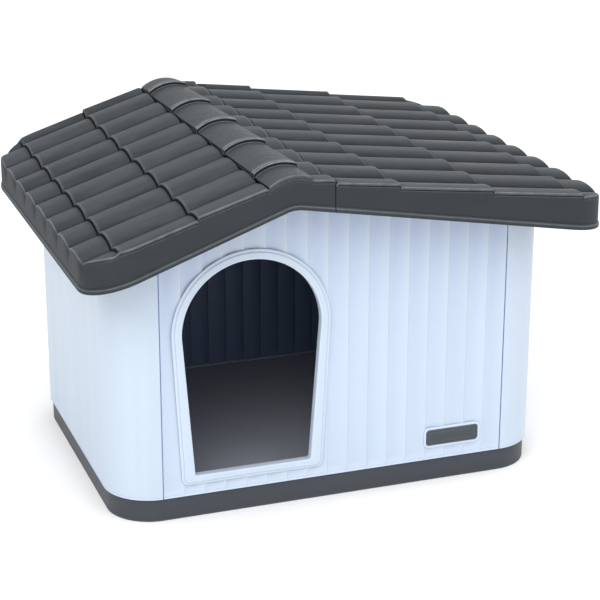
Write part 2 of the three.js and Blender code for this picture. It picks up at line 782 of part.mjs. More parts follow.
function ridgeCap() {
  const xs = [];
  for (let i = 0; i <= capSegments; i++) xs.push(capLeft + ((capRight - capLeft) * i) / capSegments);
  const front = -roofHalfY + beadProud;
  const rear = roofHalfY - beadProud;
  const ys = [front];
  for (let lip = -roofHalfY + capFirst; lip < rear; lip += capPitch) ys.push(lip - capLipRun, lip);
  ys.push(rear);
  const bottom = (x) => capHeight(x) - capThickness;
  return grid(xs, ys, (x, y) => capHeight(x) + capRiseAt(y), bottom);
}

// ---------------------------------------------------------------- fasteners
// A pan-head screw along +Z: its head's seat is at z = 0 and its shank hangs below.
function screwGeometry(length, headRadius) {
  const points = [
    [0, -length],
    [screwShank, -length],
    [screwShank, 0],
    [headRadius, 0],
    [headRadius * screwHeadTop, screwHeadHeight],
    [0, screwHeadHeight],
  ];
  return new THREE.LatheGeometry(points.map(([x, y]) => new THREE.Vector2(x, y)), 10).rotateX(Math.PI / 2);
}

// A headed pin along +Z, with its head's seat at z = 0.
function pinGeometry(length) {
  const points = [
    [0, -length],
    [hingePin - pinChamfer, -length],
    [hingePin, -length + pinChamfer],
    [hingePin, 0],
    [hingePin * 2, 0],
    [hingePin * 2, pinHeadHeight],
    [0, pinHeadHeight],
  ];
  return new THREE.LatheGeometry(points.map(([x, y]) => new THREE.Vector2(x, y)), 12).rotateX(Math.PI / 2);
}

// ---------------------------------------------------------------- assembly
const palette = {
  wall: { color: 0xcddcf2, roughness: 0.45, metalness: 0 },
  roof: { color: 0x4a4f53, roughness: 0.5, metalness: 0 },
  base: { color: 0x50555d, roughness: 0.55, metalness: 0 },
  plate: { color: 0x515a61, roughness: 0.5, metalness: 0 },
  steel: { color: 0xa8abad, roughness: 0.35, metalness: 1 },
};
const dogHouse = new THREE.Group();
dogHouse.position.x = -roofMidX;

function place(name, geometry, finish, parent = dogHouse) {
  const mesh = new THREE.Mesh(geometry, new THREE.MeshStandardMaterial(palette[finish]));
  mesh.name = name;
  parent.add(mesh);
  return mesh;
}

// Turns a fastener so that its head looks along a direction, and sets its seat at a point.
function fasten(name, geometry, point, direction) {
  const mesh = place(name, geometry, "steel");
  mesh.position.set(...point);
  mesh.quaternion.setFromUnitVectors(new THREE.Vector3(0, 0, 1), new THREE.Vector3(...direction));
}

const shell = roofShell();
place("base_tray", geometryOf(baseTray()), "base");
place("floor_panel", geometryOf(floorPanel()), "base");
place("left_side_wall", geometryOf(sideWall(-1)), "wall");
place("right_side_wall", geometryOf(sideWall(1)), "wall");
place("front_wall", geometryOf(frontWall()), "wall");
place("rear_wall", geometryOf(rearWall()), "wall");
place("door_surround", geometryOf(doorSurround()), "wall");
place("name_plate", geometryOf(namePlate()), "plate");
place("roof_left_panel", geometryOf(roofLeftPanel(shell)), "roof");
place("ridge_cap", geometryOf(ridgeCap()), "roof");
place("roof_lid", geometryOf(roofLid(shell)), "roof");

for (const [where, x, y] of baseScrewPlaces()) {
  const seat = [x, y, flangeTop + clearance];
  fasten(`base_screw_${where}`, screwGeometry(baseScrewLength, screwHead), seat, [0, 0, 1]);
}

for (const end of [-1, 1]) {
  const endName = end < 0 ? "front" : "rear";
  for (const side of [-1, 1]) {
    const seam = `${endName}_${side < 0 ? "left" : "right"}`;
    place(`joining_strip_${seam}`, geometryOf(joiningStrip(side, end)), "base");
    const gripHalf = wallThickness + clearance / 2 + clearance + stripThickness;
    stripScrewHeights().forEach((z, i) => {
      const seat = [side * (panelEndX - gripHalf - clearance), seamScrewY(end), z];
      const name = `strip_screw_${seam}_${i ? "upper" : "lower"}`;
      fasten(name, screwGeometry(2 * gripHalf - 1, screwHead), seat, [-side, 0, 0]);
    });
  }
  const { arm, lugInner, armInner } = hingePlaces(end);
  place(`hinge_arm_${endName}`, geometryOf(hingeArm(end)), "steel");
  const pinSeat = [hingeX, end * (lugInner - clearance), hingeHeight];
  const pinLength = skirtInnerY + screwBite - lugInner;
  fasten(`hinge_pin_${endName}`, pinGeometry(pinLength), pinSeat, [0, -end, 0]);
  armScrewPlaces().forEach((x, i) => {
    const seatY = Math.min(armInner, skirtInnerY - armBossLength) - clearance;
    const name = `hinge_screw_${endName}_${i ? "outer" : "inner"}`;
    const length = skirtInnerY + screwBite - clearance - seatY;
    fasten(name, screwGeometry(length, washerHead), [x, end * seatY, armMiddle()], [0, -end, 0]);
  });
}

roofScrewPlaces().forEach((y, i) => {
  const tabFace = -halfX + wallThickness + 2 * clearance + roofTabThickness;
  const seat = [tabFace + clearance, y, roofScrewHeight()];
  const length = seat[0] - (-halfX + wallThickness - screwBite) - clearance;
  fasten(`roof_screw_${["front", "middle", "rear"][i]}`, screwGeometry(length, screwHead), seat, [1, 0, 0]);
});

export default dogHouse;
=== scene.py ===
"""The finished look of a plastic dog house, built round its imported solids.

Lengths are metres in the frame of the solids: +X runs to the right of someone who faces the doorway, +Y to
the rear and +Z up, with the ground at z = 0 and the roof's outline centred on the origin.
"""

import json
import logging
import math
from dataclasses import dataclass, field, replace
from enum import Enum
from typing import Callable, Mapping, Sequence

import bmesh
import bpy
import numpy as np
from mathutils import Matrix, Vector

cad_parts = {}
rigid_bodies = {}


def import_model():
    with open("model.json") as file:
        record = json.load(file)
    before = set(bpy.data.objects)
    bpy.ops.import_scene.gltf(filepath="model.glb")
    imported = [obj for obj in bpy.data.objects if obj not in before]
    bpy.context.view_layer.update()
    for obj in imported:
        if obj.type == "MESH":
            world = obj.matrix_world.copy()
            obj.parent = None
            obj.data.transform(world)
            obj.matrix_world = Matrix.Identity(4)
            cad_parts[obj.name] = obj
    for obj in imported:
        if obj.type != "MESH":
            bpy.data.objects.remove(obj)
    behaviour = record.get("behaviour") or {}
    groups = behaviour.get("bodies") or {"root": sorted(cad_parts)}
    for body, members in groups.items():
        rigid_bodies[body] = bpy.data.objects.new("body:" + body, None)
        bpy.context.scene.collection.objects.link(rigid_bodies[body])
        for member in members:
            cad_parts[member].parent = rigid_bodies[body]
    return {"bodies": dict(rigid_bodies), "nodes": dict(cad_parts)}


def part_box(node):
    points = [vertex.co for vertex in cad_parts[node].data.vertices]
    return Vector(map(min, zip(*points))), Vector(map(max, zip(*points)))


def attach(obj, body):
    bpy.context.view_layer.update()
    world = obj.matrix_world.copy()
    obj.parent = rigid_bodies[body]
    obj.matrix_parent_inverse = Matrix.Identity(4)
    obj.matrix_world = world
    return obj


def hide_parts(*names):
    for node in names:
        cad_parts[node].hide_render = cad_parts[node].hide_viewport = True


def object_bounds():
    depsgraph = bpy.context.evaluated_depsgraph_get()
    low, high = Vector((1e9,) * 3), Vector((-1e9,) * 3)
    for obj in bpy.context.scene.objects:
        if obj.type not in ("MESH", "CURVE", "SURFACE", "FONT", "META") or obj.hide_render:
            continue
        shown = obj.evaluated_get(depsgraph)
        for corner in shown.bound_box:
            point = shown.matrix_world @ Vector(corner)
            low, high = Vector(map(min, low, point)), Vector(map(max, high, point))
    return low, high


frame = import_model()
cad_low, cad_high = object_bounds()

log = logging.getLogger("dog_house")

# One number, or one for each point.
Numbers = np.ndarray | float
Profile = Sequence[tuple[float, ...]]
Object = bpy.types.Object
Material = bpy.types.Material

MM = 0.001
SMOOTH_LIMIT = math.radians(38)
MERGE = 2e-5
CUTTER_REACH = 20 * MM
STEEP = 0.35
INWARD = 0.5
EASE = 0.4 * MM
EASE_FROM = math.radians(50)


class Body(Enum):
    """The bodies that pieces ride on."""

    HOUSE = "house"
    LID = "lid"


class Slot(Enum):
    """The record's material slots."""

    WALL = "wall_plastic"
    ROOF = "roof_plastic"
    BASE = "base_plastic"
    PLATE = "plate_plastic"
    STEEL = "steel"


class Side(Enum):
    """The two ends of the roof along X, by the sign of X."""

    LEFT = -1
    RIGHT = 1


# ---------------------------------------------------------------- mesh making
def smooth(mesh: bpy.types.Mesh) -> None:
    """Shades a mesh smooth and marks its hard edges."""
    mesh.polygons.foreach_set("use_smooth", [True] * len(mesh.polygons))
    mesh.set_sharp_from_angle(angle=SMOOTH_LIMIT)


class Shell:
    """Points, faces and masks of one mesh, gathered before it becomes an object."""

    def __init__(self) -> None:
        """Starts an empty shell."""
        self.points: list[np.ndarray] = []
        self.faces: list[tuple[int, ...]] = []
        self.edge: list[np.ndarray] = []
        self.crease: list[np.ndarray] = []
        self.count = 0

    def sheet(
        self, points: np.ndarray, edge: Numbers = 0.0, crease: Numbers = 0.0, closed: bool = False
    ) -> np.ndarray:
        """Adds a sheet of four-sided faces.

        Args:
            points: Rows and columns of points, shaped (rows, columns, 3).
            edge: How much each point is lightened, for worn edges and painted highlights, 0 to 1.
            crease: How much each point is darkened with painted shade, in creases and shaded places, 0 to 1.
            closed: Whether the last column joins the first.

        Returns:
            The index of each point, shaped (rows, columns).
        """
        rows, columns, _ = points.shape
        index = self.count + np.arange(rows * columns).reshape(rows, columns)
        self.points.append(points.reshape(-1, 3))
        self.edge.append(np.broadcast_to(edge, (rows, columns)).ravel())
        self.crease.append(np.broadcast_to(crease, (rows, columns)).ravel())
        self.count += rows * columns
        right = np.roll(index, -1, axis=1) if closed else index[:, 1:]
        left = index if closed else index[:, :-1]
        quads = np.stack([left[:-1], right[:-1], right[1:], left[1:]], axis=-1)
        self.faces.extend(map(tuple, quads.reshape(-1, 4).tolist()))
        return index

    def face(self, indices: Sequence[int]) -> None:
        """Adds one face over points that are already there."""
        self.faces.append(tuple(int(i) for i in indices))

    def close_ends(self, index: np.ndarray) -> None:
        """Closes both ends of a sheet whose rows go round."""
        self.face(index[:, 0])
        self.face(index[::-1, -1])

    def solid(self, points: np.ndarray, edge: Numbers = 0.0, crease: Numbers = 0.0) -> None:
        """Adds a closed sheet with a face over its first row and one over its last.

        Args:
            points: Rows and columns of points.
            edge: The edge mask.
            crease: The crease mask.
        """
        index = self.sheet(points, edge, crease, closed=True)
        self.face(index[0][::-1])
        self.face(index[-1])

    def bridge(self, first: np.ndarray, second: np.ndarray) -> None:
        """Joins two closed rows of points that are already there.

        Args:
            first: The indices of the first row.
            second: The indices of the second row.
        """
        for k in range(len(first)):
            ahead = (k + 1) % len(first)
            self.face((first[k], first[ahead], second[ahead], second[k]))

    def build(self, name: str) -> Object:
        """Makes the object, with its points merged, its faces turned outward and its hard edges marked.

        Args:
            name: The piece's name.

        Returns:
            The new object, linked to the scene.
        """
        mesh = bpy.data.meshes.new(name)
        mesh.from_pydata(np.concatenate(self.points).tolist(), [], self.faces)
        for label, values in (("edge", self.edge), ("crease", self.crease)):
            layer = mesh.attributes.new(label, "FLOAT", "POINT")
            layer.data.foreach_set("value", np.concatenate(values).astype(np.float32))
        draft = bmesh.new()
        draft.from_mesh(mesh)
        bmesh.ops.remove_doubles(draft, verts=draft.verts, dist=MERGE)
        bmesh.ops.dissolve_degenerate(draft, edges=draft.edges, dist=MERGE)
        bmesh.ops.recalc_face_normals(draft, faces=draft.faces)
        draft.to_mesh(mesh)
        draft.free()
        smooth(mesh)
        item = bpy.data.objects.new(name, mesh)
        bpy.context.scene.collection.objects.link(item)
        return item


def cut(item: Object, tool: Object) -> None:
    """Cuts a closed tool out of a closed piece and removes the tool.

    Args:
        item: The piece that is cut.
        tool: The solid that is taken away from it.
    """
    change = item.modifiers.new("cut", "BOOLEAN")
    change.operation = "DIFFERENCE"
    change.solver = "EXACT"
    change.object = tool
    depsgraph = bpy.context.evaluated_depsgraph_get()
    mesh = bpy.data.meshes.new_from_object(item.evaluated_get(depsgraph))
    item.modifiers.clear()
    item.data = mesh
    bpy.data.objects.remove(tool)
    smooth(mesh)


def at_depth(outline: np.ndarray, y: float) -> np.ndarray:
    """An outline drawn in X and Z, set at a place along Y."""
    return np.column_stack([outline[:, 0], np.full(len(outline), y), outline[:, 1]])


def add_prism(shell: Shell, outline: np.ndarray, near: float, away: float) -> None:
    """Adds a closed prism along Y over an outline drawn in X and Z.

    Args:
        shell: The shell that it goes into.
        outline: Points of the outline, shaped (count, 2).
        near: Where it starts along Y.
        away: Where it ends along Y.
    """
    index = shell.sheet(np.stack([at_depth(outline, y) for y in (near, away)]), closed=True)
    shell.face(index[0])
    shell.face(index[1][::-1])


def prism(outline: np.ndarray, near: float, away: float, name: str) -> Object:
    """Makes a closed prism along Y as an object of its own.

    Args:
        outline: Points of the outline in X and Z, shaped (count, 2).
        near: Where it starts along Y.
        away: Where it ends along Y.
        name: The object's name.

    Returns:
        The prism.
    """
    shell = Shell()
    add_prism(shell, outline, near, away)
    return shell.build(name)


def join(item: Object, parts: Sequence[Object]) -> None:
    """Joins parts into a piece."""
    with bpy.context.temp_override(active_object=item, selected_editable_objects=[item, *parts]):
        bpy.ops.object.join()


@dataclass(frozen=True)
class RoundedBox:
    """A rounded rectangle seen from above."""

    left: float
    right: float
    half_depth: float
    radius: float

    def inset(self, by: float) -> "RoundedBox":
        """The same outline drawn in by a distance."""
        return RoundedBox(self.left + by, self.right - by, self.half_depth - by, self.radius - by)

    def reach(self, y: np.ndarray) -> tuple[np.ndarray, np.ndarray]:
        """The outline's lowest and highest X at each Y.

        Args:
            y: Places along Y.

        Returns:
            The left ends and the right ends.
        """
        over = np.clip(np.abs(y) - (self.half_depth - self.radius), 0, self.radius)
        back = self.radius - np.sqrt(np.maximum(self.radius**2 - over**2, 0))
        return self.left + back, self.right - back

    def outward(self, x: np.ndarray, y: np.ndarray) -> tuple[np.ndarray, np.ndarray, np.ndarray]:
        """The outward direction at points near the outline, and their depth inside it.

        Args:
            x: Places along X.
            y: Places along Y.

        Returns:
            The direction's X, its Y, and the depth.
        """
        middle = (self.left + self.right) / 2
        half = (self.right - self.left) / 2
        across = np.abs(x - middle) - (half - self.radius)
        along = np.abs(y) - (self.half_depth - self.radius)
        corner = (across > 0) & (along > 0)
        length = np.hypot(np.maximum(across, 0), np.maximum(along, 0)) + 1e-12
        beside = across >= along
        towards_x = np.where(corner, across / length, beside) * np.sign(x - middle)
        towards_y = np.where(corner, along / length, ~beside) * np.sign(y)
        depth = self.radius - np.where(corner, length, np.maximum(across, along))
        return towards_x, towards_y, depth

    def loop(self, corner_steps: int = 20, side_steps: int = 10) -> np.ndarray:
        """Points round the outline, counter-clockwise from the right end of the front.

        Args:
            corner_steps: How many steps each corner takes.
            side_steps: How many steps each straight side takes.

        Returns:
            Points, shaped (count, 2).
        """
        x = (self.right - self.radius, self.left + self.radius)
        y = (self.radius - self.half_depth, self.half_depth - self.radius)
        centres = ((x[0], y[0], -90), (x[0], y[1], 0), (x[1], y[1], 90), (x[1], y[0], 180))
        arcs = []
        for centre_x, centre_y, start in centres:
            angle = np.radians(np.linspace(start, start + 90, corner_steps + 1))
            turn = np.column_stack([np.cos(angle), np.sin(angle)])
            arcs.append([centre_x, centre_y] + self.radius * turn)
        points = []
        for arc, following in zip(arcs, arcs[1:] + arcs[:1]):
            share = np.linspace(0, 1, side_steps + 1)[1:-1, None]
            points += [arc, arc[-1] + (following[0] - arc[-1]) * share]
        return np.concatenate(points)


def directions(outline: RoundedBox, path: np.ndarray) -> np.ndarray:
    """The outward direction of an outline at each point of a path on it, shaped (count, 2)."""
    towards_x, towards_y, _ = outline.outward(path[:, 0], path[:, 1])
    return np.column_stack([towards_x, towards_y])


def sweep(path: np.ndarray, outward: np.ndarray, section: Sequence[tuple[Numbers, Numbers]]) -> np.ndarray:
    """Carries a section along a path.

    Args:
        path: The path seen from above, shaped (count, 2).
        outward: The outward direction at each point, shaped (count, 2).
        section: Pairs of the distance outward and the height. Each may be a number or one number a point.

    Returns:
        Points, shaped (len(section), count, 3).
    """
    rows = []
    for out, height in section:
        moved = path + outward * np.broadcast_to(out, len(path))[:, None]
        rows.append(np.column_stack([moved, np.broadcast_to(height, len(path))]))
    return np.stack(rows)


class Section:
    """The rows of a section that a path carries, with masks for each point of the path."""

    def __init__(self, count: int) -> None:
        """Starts an empty section.

        Args:
            count: How many points the path has.
        """
        self.count = count
        self.rows: list[tuple] = []
        self.edges: list[np.ndarray] = []
        self.creases: list[np.ndarray] = []

    def add(self, out: Numbers, height: Numbers, edge: Numbers = 0.0, crease: Numbers = 0.0) -> None:
        """Adds a row.

        Args:
            out: How far out the row lies.
            height: How high it lies.
            edge: The edge mask.
            crease: The crease mask.
        """
        self.rows.append((out, height))
        self.edges.append(np.broadcast_to(edge, self.count))
        self.creases.append(np.broadcast_to(crease, self.count))


def row_masks(section: Profile) -> tuple[np.ndarray, np.ndarray]:
    """The edge and crease masks of a section's rows, which are the last two values of each."""
    masks = np.array([row[-2:] for row in section])
    return masks[:, :1], masks[:, 1:]


# ---------------------------------------------------------------- shader nodes
Socket = bpy.types.NodeSocket
Sockets = Mapping[str, Socket]
Tree = bpy.types.NodeTree
SIGNED = (0.3, 0.7, -0.5, 0.5)


class Graph:
    """Adds shader nodes to a tree and joins them."""

    def __init__(self, tree: Tree) -> None:
        """Keeps the tree that nodes go into."""
        self.tree = tree

    def node(self, kind: str, **settings: object) -> bpy.types.Node:
        """Adds a node.

        Args:
            kind: The node's type.
            settings: Properties set on the node.

        Returns:
            The node.
        """
        made = self.tree.nodes.new(kind)
        for label, value in settings.items():
            setattr(made, label, value)
        return made

    def join(self, source: object, target: Socket) -> None:
        """Feeds a socket from another one, or sets it to a plain value.

        Args:
            source: A socket or a value.
            target: The socket that is fed.
        """
        if isinstance(source, Socket):
            self.tree.links.new(source, target)
        else:
            target.default_value = source

    def fed(self, kind: str, inputs: Mapping[int | str, object], **settings: object) -> Sockets:
        """Adds a node and feeds its inputs.

        Args:
            kind: The node's type.
            inputs: A socket or a value for each input, by its number or name.
            settings: Properties set on the node.

        Returns:
            The node's outputs.
        """
        made = self.node(kind, **settings)
        for key, source in inputs.items():
            self.join(source, made.inputs[key])
        return made.outputs

    def math(self, operation: str, first: object, second: object = 0.0, clamp: bool = False) -> Socket:
        """Works out one sum, kept between 0 and 1 where clamp is set."""
        return self.fed("ShaderNodeMath", {0: first, 1: second}, operation=operation, use_clamp=clamp)[0]

    def blend(self, share: object, first: object, second: object) -> Socket:
        """Mixes two colours, with a share of the second one."""
        return self.fed("ShaderNodeMix", {0: share, 6: first, 7: second}, data_type="RGBA")[2]

    def ramp(self, value: Socket, low: float, high: float, start: float = 0.0, end: float = 1.0) -> Socket:
        """Maps a value from the range low to high to the range start to end, and keeps it there."""
        return self.fed("ShaderNodeMapRange", dict(enumerate((value, low, high, start, end))))[0]

    def noise(self, place: Socket, scale: object, detail: float, stretch: tuple = (1, 1, 1)) -> Socket:
        """Makes noise over the surface.

        Args:
            place: The coordinates' socket.
            scale: The noise's scale, in cells a metre.
            detail: How many octaves it has.
            stretch: How much the scale grows along each axis.

        Returns:
            The noise's socket, between 0 and 1.
        """
        moved = self.fed("ShaderNodeMapping", {"Vector": place, "Scale": stretch})[0]
        return self.fed("ShaderNodeTexNoise", {"Vector": moved, "Scale": scale, "Detail": detail})[0]

    def mask(self, name: str) -> Socket:
        """A mask that the mesh carries."""
        return self.node("ShaderNodeAttribute", attribute_name=name).outputs["Fac"]

    def toned(self, colour: Sequence[float], tone: Socket) -> Socket:
        """A screen colour, made lighter or darker by a tone about zero."""
        scale = self.math("ADD", tone, 1.0)
        return self.fed("ShaderNodeVectorMath", {0: linear(colour)[:3], "Scale": scale}, operation="SCALE")[0]

    def bump(self, height: Socket, strength: float, distance: float) -> Socket:
        """A normal that follows a height."""
        return self.fed("ShaderNodeBump", {"Strength": strength, "Distance": distance, "Height": height})[0]


def linear(colour: Sequence[float]) -> tuple[float, float, float, float]:
    """A screen colour, 0 to 255, as the linear colour that shaders take."""
    shares = [c / 255 for c in colour]
    return (*[c / 12.92 if c <= 0.04045 else ((c + 0.055) / 1.055) ** 2.4 for c in shares], 1.0)


class Effect:
    """A shared node group, whose inputs and outputs are numbers."""

    def __init__(self, name: str, inputs: dict[str, float], outputs: Sequence[str]) -> None:
        """Makes the group, with nothing between its inputs and its outputs.

        Args:
            name: The group's name.
            inputs: Its inputs and their defaults.
            outputs: Its outputs.
        """
        self.tree = bpy.data.node_groups.new(name, "ShaderNodeTree")
        for label, value in inputs.items():
            self.socket(label, "INPUT").default_value = value
        for label in outputs:
            self.socket(label, "OUTPUT")
        self.graph = Graph(self.tree)
        self.entry = self.graph.node("NodeGroupInput").outputs
        self.leave = self.graph.node("NodeGroupOutput").inputs
        self.place = self.graph.node("ShaderNodeTexCoord").outputs["Object"]

    def socket(self, label: str, way: str) -> bpy.types.NodeTreeInterfaceSocket:
        """Adds an input or an output."""
        return self.tree.interface.new_socket(label, in_out=way, socket_type="NodeSocketFloat")

    def give(self, label: str, source: Socket) -> None:
        """Feeds an output."""
        self.graph.join(source, self.leave[label])


def draw_grain() -> Tree:
    """Draws the fine grain of a moulding tool: a height, and small changes of gloss.

    Returns:
        The group.
    """
    effect = Effect("mould_grain", {"Scale": 900.0, "Depth": 1.0, "Swell": 0.0}, ("Height", "Gloss"))
    graph, entry = effect.graph, effect.entry
    fine = graph.noise(effect.place, entry["Scale"], detail=3.0)
    soft = graph.noise(effect.place, scale=38.0, detail=2.0)
    height = graph.math("MULTIPLY", fine, entry["Depth"])
    swell = graph.math("MULTIPLY", soft, entry["Swell"])
    effect.give("Height", graph.math("ADD", height, swell))
    effect.give("Gloss", graph.ramp(fine, *SIGNED))
    return effect.tree


def draw_rub_and_highlight() -> Tree:
    """Draws the lighter edges, broken up by noise: worn edges and painted highlights.

    Returns:
        The group.
    """
    effect = Effect("edge_rub_and_highlight", {"Amount": 0.3}, ("Mask",))
    graph = effect.graph
    patchy = graph.ramp(graph.noise(effect.place, scale=60.0, detail=4.0), low=0.35, high=0.62)
    broken = graph.ramp(patchy, low=0.0, high=1.0, start=0.55, end=1.0)
    kept = graph.math("MULTIPLY", graph.mask("edge"), broken)
    effect.give("Mask", graph.math("MULTIPLY", kept, effect.entry["Amount"], clamp=True))
    return effect.tree


def draw_crease_shade_and_tone() -> Tree:
    """Draws painted shade in creases and shaded places, and random patches and streaks of lighter and darker
    tone.

    Returns:
        The group.
    """
    effect = Effect("crease_shade_and_tone", {"Crease": 0.7, "Streak Scale": 40.0}, ("Dark", "Deep", "Tone"))
    graph, entry = effect.graph, effect.entry
    patchy = graph.noise(effect.place, scale=24.0, detail=4.0)
    broken = graph.ramp(patchy, low=0.25, high=0.75, start=0.75, end=1.0)
    # Dark and Deep are painted shade from the crease mask; Tone varies at random.
    dark = graph.math("MULTIPLY", graph.mask("crease"), broken)
    effect.give("Dark", graph.math("MULTIPLY", dark, entry["Crease"], clamp=True))
    effect.give("Deep", graph.ramp(graph.mask("crease"), low=0.75, high=1.0))
    streaks = graph.noise(effect.place, entry["Streak Scale"], detail=3.0, stretch=(0.12, 1.0, 1.0))
    cloud = graph.noise(effect.place, scale=5.0, detail=3.0)
    mixed = graph.math("ADD", graph.math("MULTIPLY", streaks, 0.6), graph.math("MULTIPLY", cloud, 0.4))
    effect.give("Tone", graph.ramp(mixed, low=0.32, high=0.68, start=-0.5, end=0.5))
    return effect.tree


def draw_upright_sheen() -> Tree:
    """Draws faint vertical streaks of painted sheen over a large panel.

    Returns:
        The group.
    """
    effect = Effect("upright_sheen_streaks", {"Scale": 30.0}, ("Tone",))
    streaks = effect.graph.noise(effect.place, effect.entry["Scale"], detail=3.0, stretch=(1.0, 1.0, 0.03))
    effect.give("Tone", effect.graph.ramp(streaks, *SIGNED))
    return effect.tree


def draw_brushed() -> Tree:
    """Draws the fine lines of plated sheet steel.

    Returns:
        The group.
    """
    effect = Effect("brushed_lines", {"Scale": 900.0}, ("Height", "Gloss"))
    lines = effect.graph.noise(effect.place, effect.entry["Scale"], detail=2.0, stretch=(0.05, 1.0, 1.0))
    effect.give("Height", lines)
    effect.give("Gloss", effect.graph.ramp(lines, *SIGNED))
    return effect.tree


@dataclass(frozen=True)
class Effects:
    """The shared node groups, each drawn once."""

    grain: Tree = field(default_factory=draw_grain)
    rub_and_highlight: Tree = field(default_factory=draw_rub_and_highlight)
    shade_and_tone: Tree = field(default_factory=draw_crease_shade_and_tone)
    upright_sheen: Tree = field(default_factory=draw_upright_sheen)
    brushed: Tree = field(default_factory=draw_brushed)


def new_material(name: str) -> tuple[Material, Graph, Sockets]:
    """Starts a material.

    Args:
        name: The material's name.

    Returns:
        The material, its graph and the inputs of its Principled shader.
    """
    material = bpy.data.materials.new(name)
    material.use_nodes = True
    return material, Graph(material.node_tree), material.node_tree.nodes["Principled BSDF"].inputs


@dataclass(frozen=True)
class MouldedPlastic:
    """A moulded plastic finish."""

    name: str
    colour: tuple[float, float, float]
    # The lighter colour of worn edges and painted highlights, then the painted shade colours of creases and of
    # the darkest creases.
    rub_and_highlight_colour: tuple[float, float, float]
    creased: tuple[float, float, float]
    deep: tuple[float, float, float] = (6, 7, 8)
    roughness: float = 0.48
    roughness_spread: float = 0.08
    roughness_streaks: float = 0.0
    grain_scale: float = 900.0
    grain_depth: float = 1.0
    swell: float = 0.0
    bump: float = 0.12
    # How much the edge mask lightens, for worn edges and painted highlights.
    rub_and_highlight_amount: float = 0.3
    crease: float = 0.8
    tone: float = 0.1
    upright_sheen_tone: float = 0.0
    crease_roughness: float = 0.4
    bump_height: float = 0.5 * MM
    gloss: float = 0.5

    def build(self, effects: Effects) -> Material:
        """Makes the material.

        Args:
            effects: The shared node groups.

        Returns:
            The material.
        """
        material, graph, shader = new_material(self.name)
        size = {"Scale": self.grain_scale, "Depth": self.grain_depth, "Swell": self.swell}
        grain = graph.fed("ShaderNodeGroup", size, node_tree=effects.grain)
        shade_and_tone = graph.fed("ShaderNodeGroup", {"Crease": self.crease}, node_tree=effects.shade_and_tone)
        rub_and_highlight = graph.fed("ShaderNodeGroup", {"Amount": self.rub_and_highlight_amount}, node_tree=effects.rub_and_highlight)
        tone = graph.math("MULTIPLY", shade_and_tone["Tone"], self.tone)
        # Faint vertical streaks of painted sheen.
        if self.upright_sheen_tone:
            upright_sheen = graph.fed("ShaderNodeGroup", {}, node_tree=effects.upright_sheen)
            tone = graph.math("ADD", tone, graph.math("MULTIPLY", upright_sheen["Tone"], self.upright_sheen_tone))
        # The edge mask lightens for worn edges and painted highlights; the crease mask darkens with painted
        # shade, deepest in the darkest creases.
        colour = graph.blend(rub_and_highlight["Mask"], graph.toned(self.colour, tone), linear(self.rub_and_highlight_colour))
        colour = graph.blend(shade_and_tone["Dark"], colour, linear(self.creased))
        graph.join(graph.blend(shade_and_tone["Deep"], colour, linear(self.deep)), shader["Base Color"])
        gloss = graph.math("MULTIPLY", grain["Gloss"], self.roughness_spread)
        streaked = graph.math("MULTIPLY", shade_and_tone["Tone"], self.roughness_streaks)
        dulled = graph.math("MULTIPLY", shade_and_tone["Dark"], self.crease_roughness)
        spread = graph.math("ADD", graph.math("ADD", gloss, streaked), dulled)
        graph.join(graph.math("ADD", spread, self.roughness, clamp=True), shader["Roughness"])
        graph.join(graph.bump(grain["Height"], self.bump, self.bump_height), shader["Normal"])
        graph.join(self.gloss, shader["Specular IOR Level"])
        return material


@dataclass(frozen=True)
class PlatedSteel:
    """A zinc plated steel finish."""

    name: str
    colour: tuple[float, float, float]
    rub_and_highlight_colour: tuple[float, float, float] = (226, 227, 228)
    rub_and_highlight_amount: float = 0.5
    tone: float = 0.12
    roughness: float = 0.36
    roughness_spread: float = 0.14
    bump: float = 0.08
    bump_height: float = 0.2 * MM

    def build(self, effects: Effects) -> Material:
        """Makes the material.

        Args:
            effects: The shared node groups.

        Returns:
            The material.
        """
        material, graph, shader = new_material(self.name)
        lines = graph.fed("ShaderNodeGroup", {}, node_tree=effects.brushed)
        rub_and_highlight = graph.fed("ShaderNodeGroup", {"Amount": self.rub_and_highlight_amount}, node_tree=effects.rub_and_highlight)
        toned = graph.toned(self.colour, graph.math("MULTIPLY", lines["Gloss"], self.tone))
        # Edges are lightened, for worn edges and painted highlights.
        graph.join(graph.blend(rub_and_highlight["Mask"], toned, linear(self.rub_and_highlight_colour)), shader["Base Color"])
        gloss = graph.math("MULTIPLY", lines["Gloss"], self.roughness_spread)
        graph.join(graph.math("ADD", gloss, self.roughness, clamp=True), shader["Roughness"])
        graph.join(1.0, shader["Metallic"])
        graph.join(graph.bump(lines["Height"], self.bump, self.bump_height), shader["Normal"])
        return material


# The wall plastic's crease colours are a blue painted shade: on the flutes, under the eaves, in the seams and
# round the frames.
WALL_FINISH = MouldedPlastic(
    name="powder_blue_plastic",
    colour=(180, 193, 208),
    rub_and_highlight_colour=(204, 216, 228),
    creased=(96, 116, 205),
    deep=(88, 100, 124),
    roughness=0.42,
    grain_scale=1400.0,
    bump=0.05,
    rub_and_highlight_amount=0.35,
    crease=0.75,
    tone=0.015,
    upright_sheen_tone=0.05,
)
# The walls' inside faces take this darker copy of the wall plastic: painted shade, as in a room lit only
# through its doorway.
INSIDE_SHADE_FINISH = replace(
    WALL_FINISH,
    name="shaded_blue_plastic",
    colour=(84, 99, 130),
    rub_and_highlight_colour=(100, 112, 142),
    creased=(30, 36, 52),
)
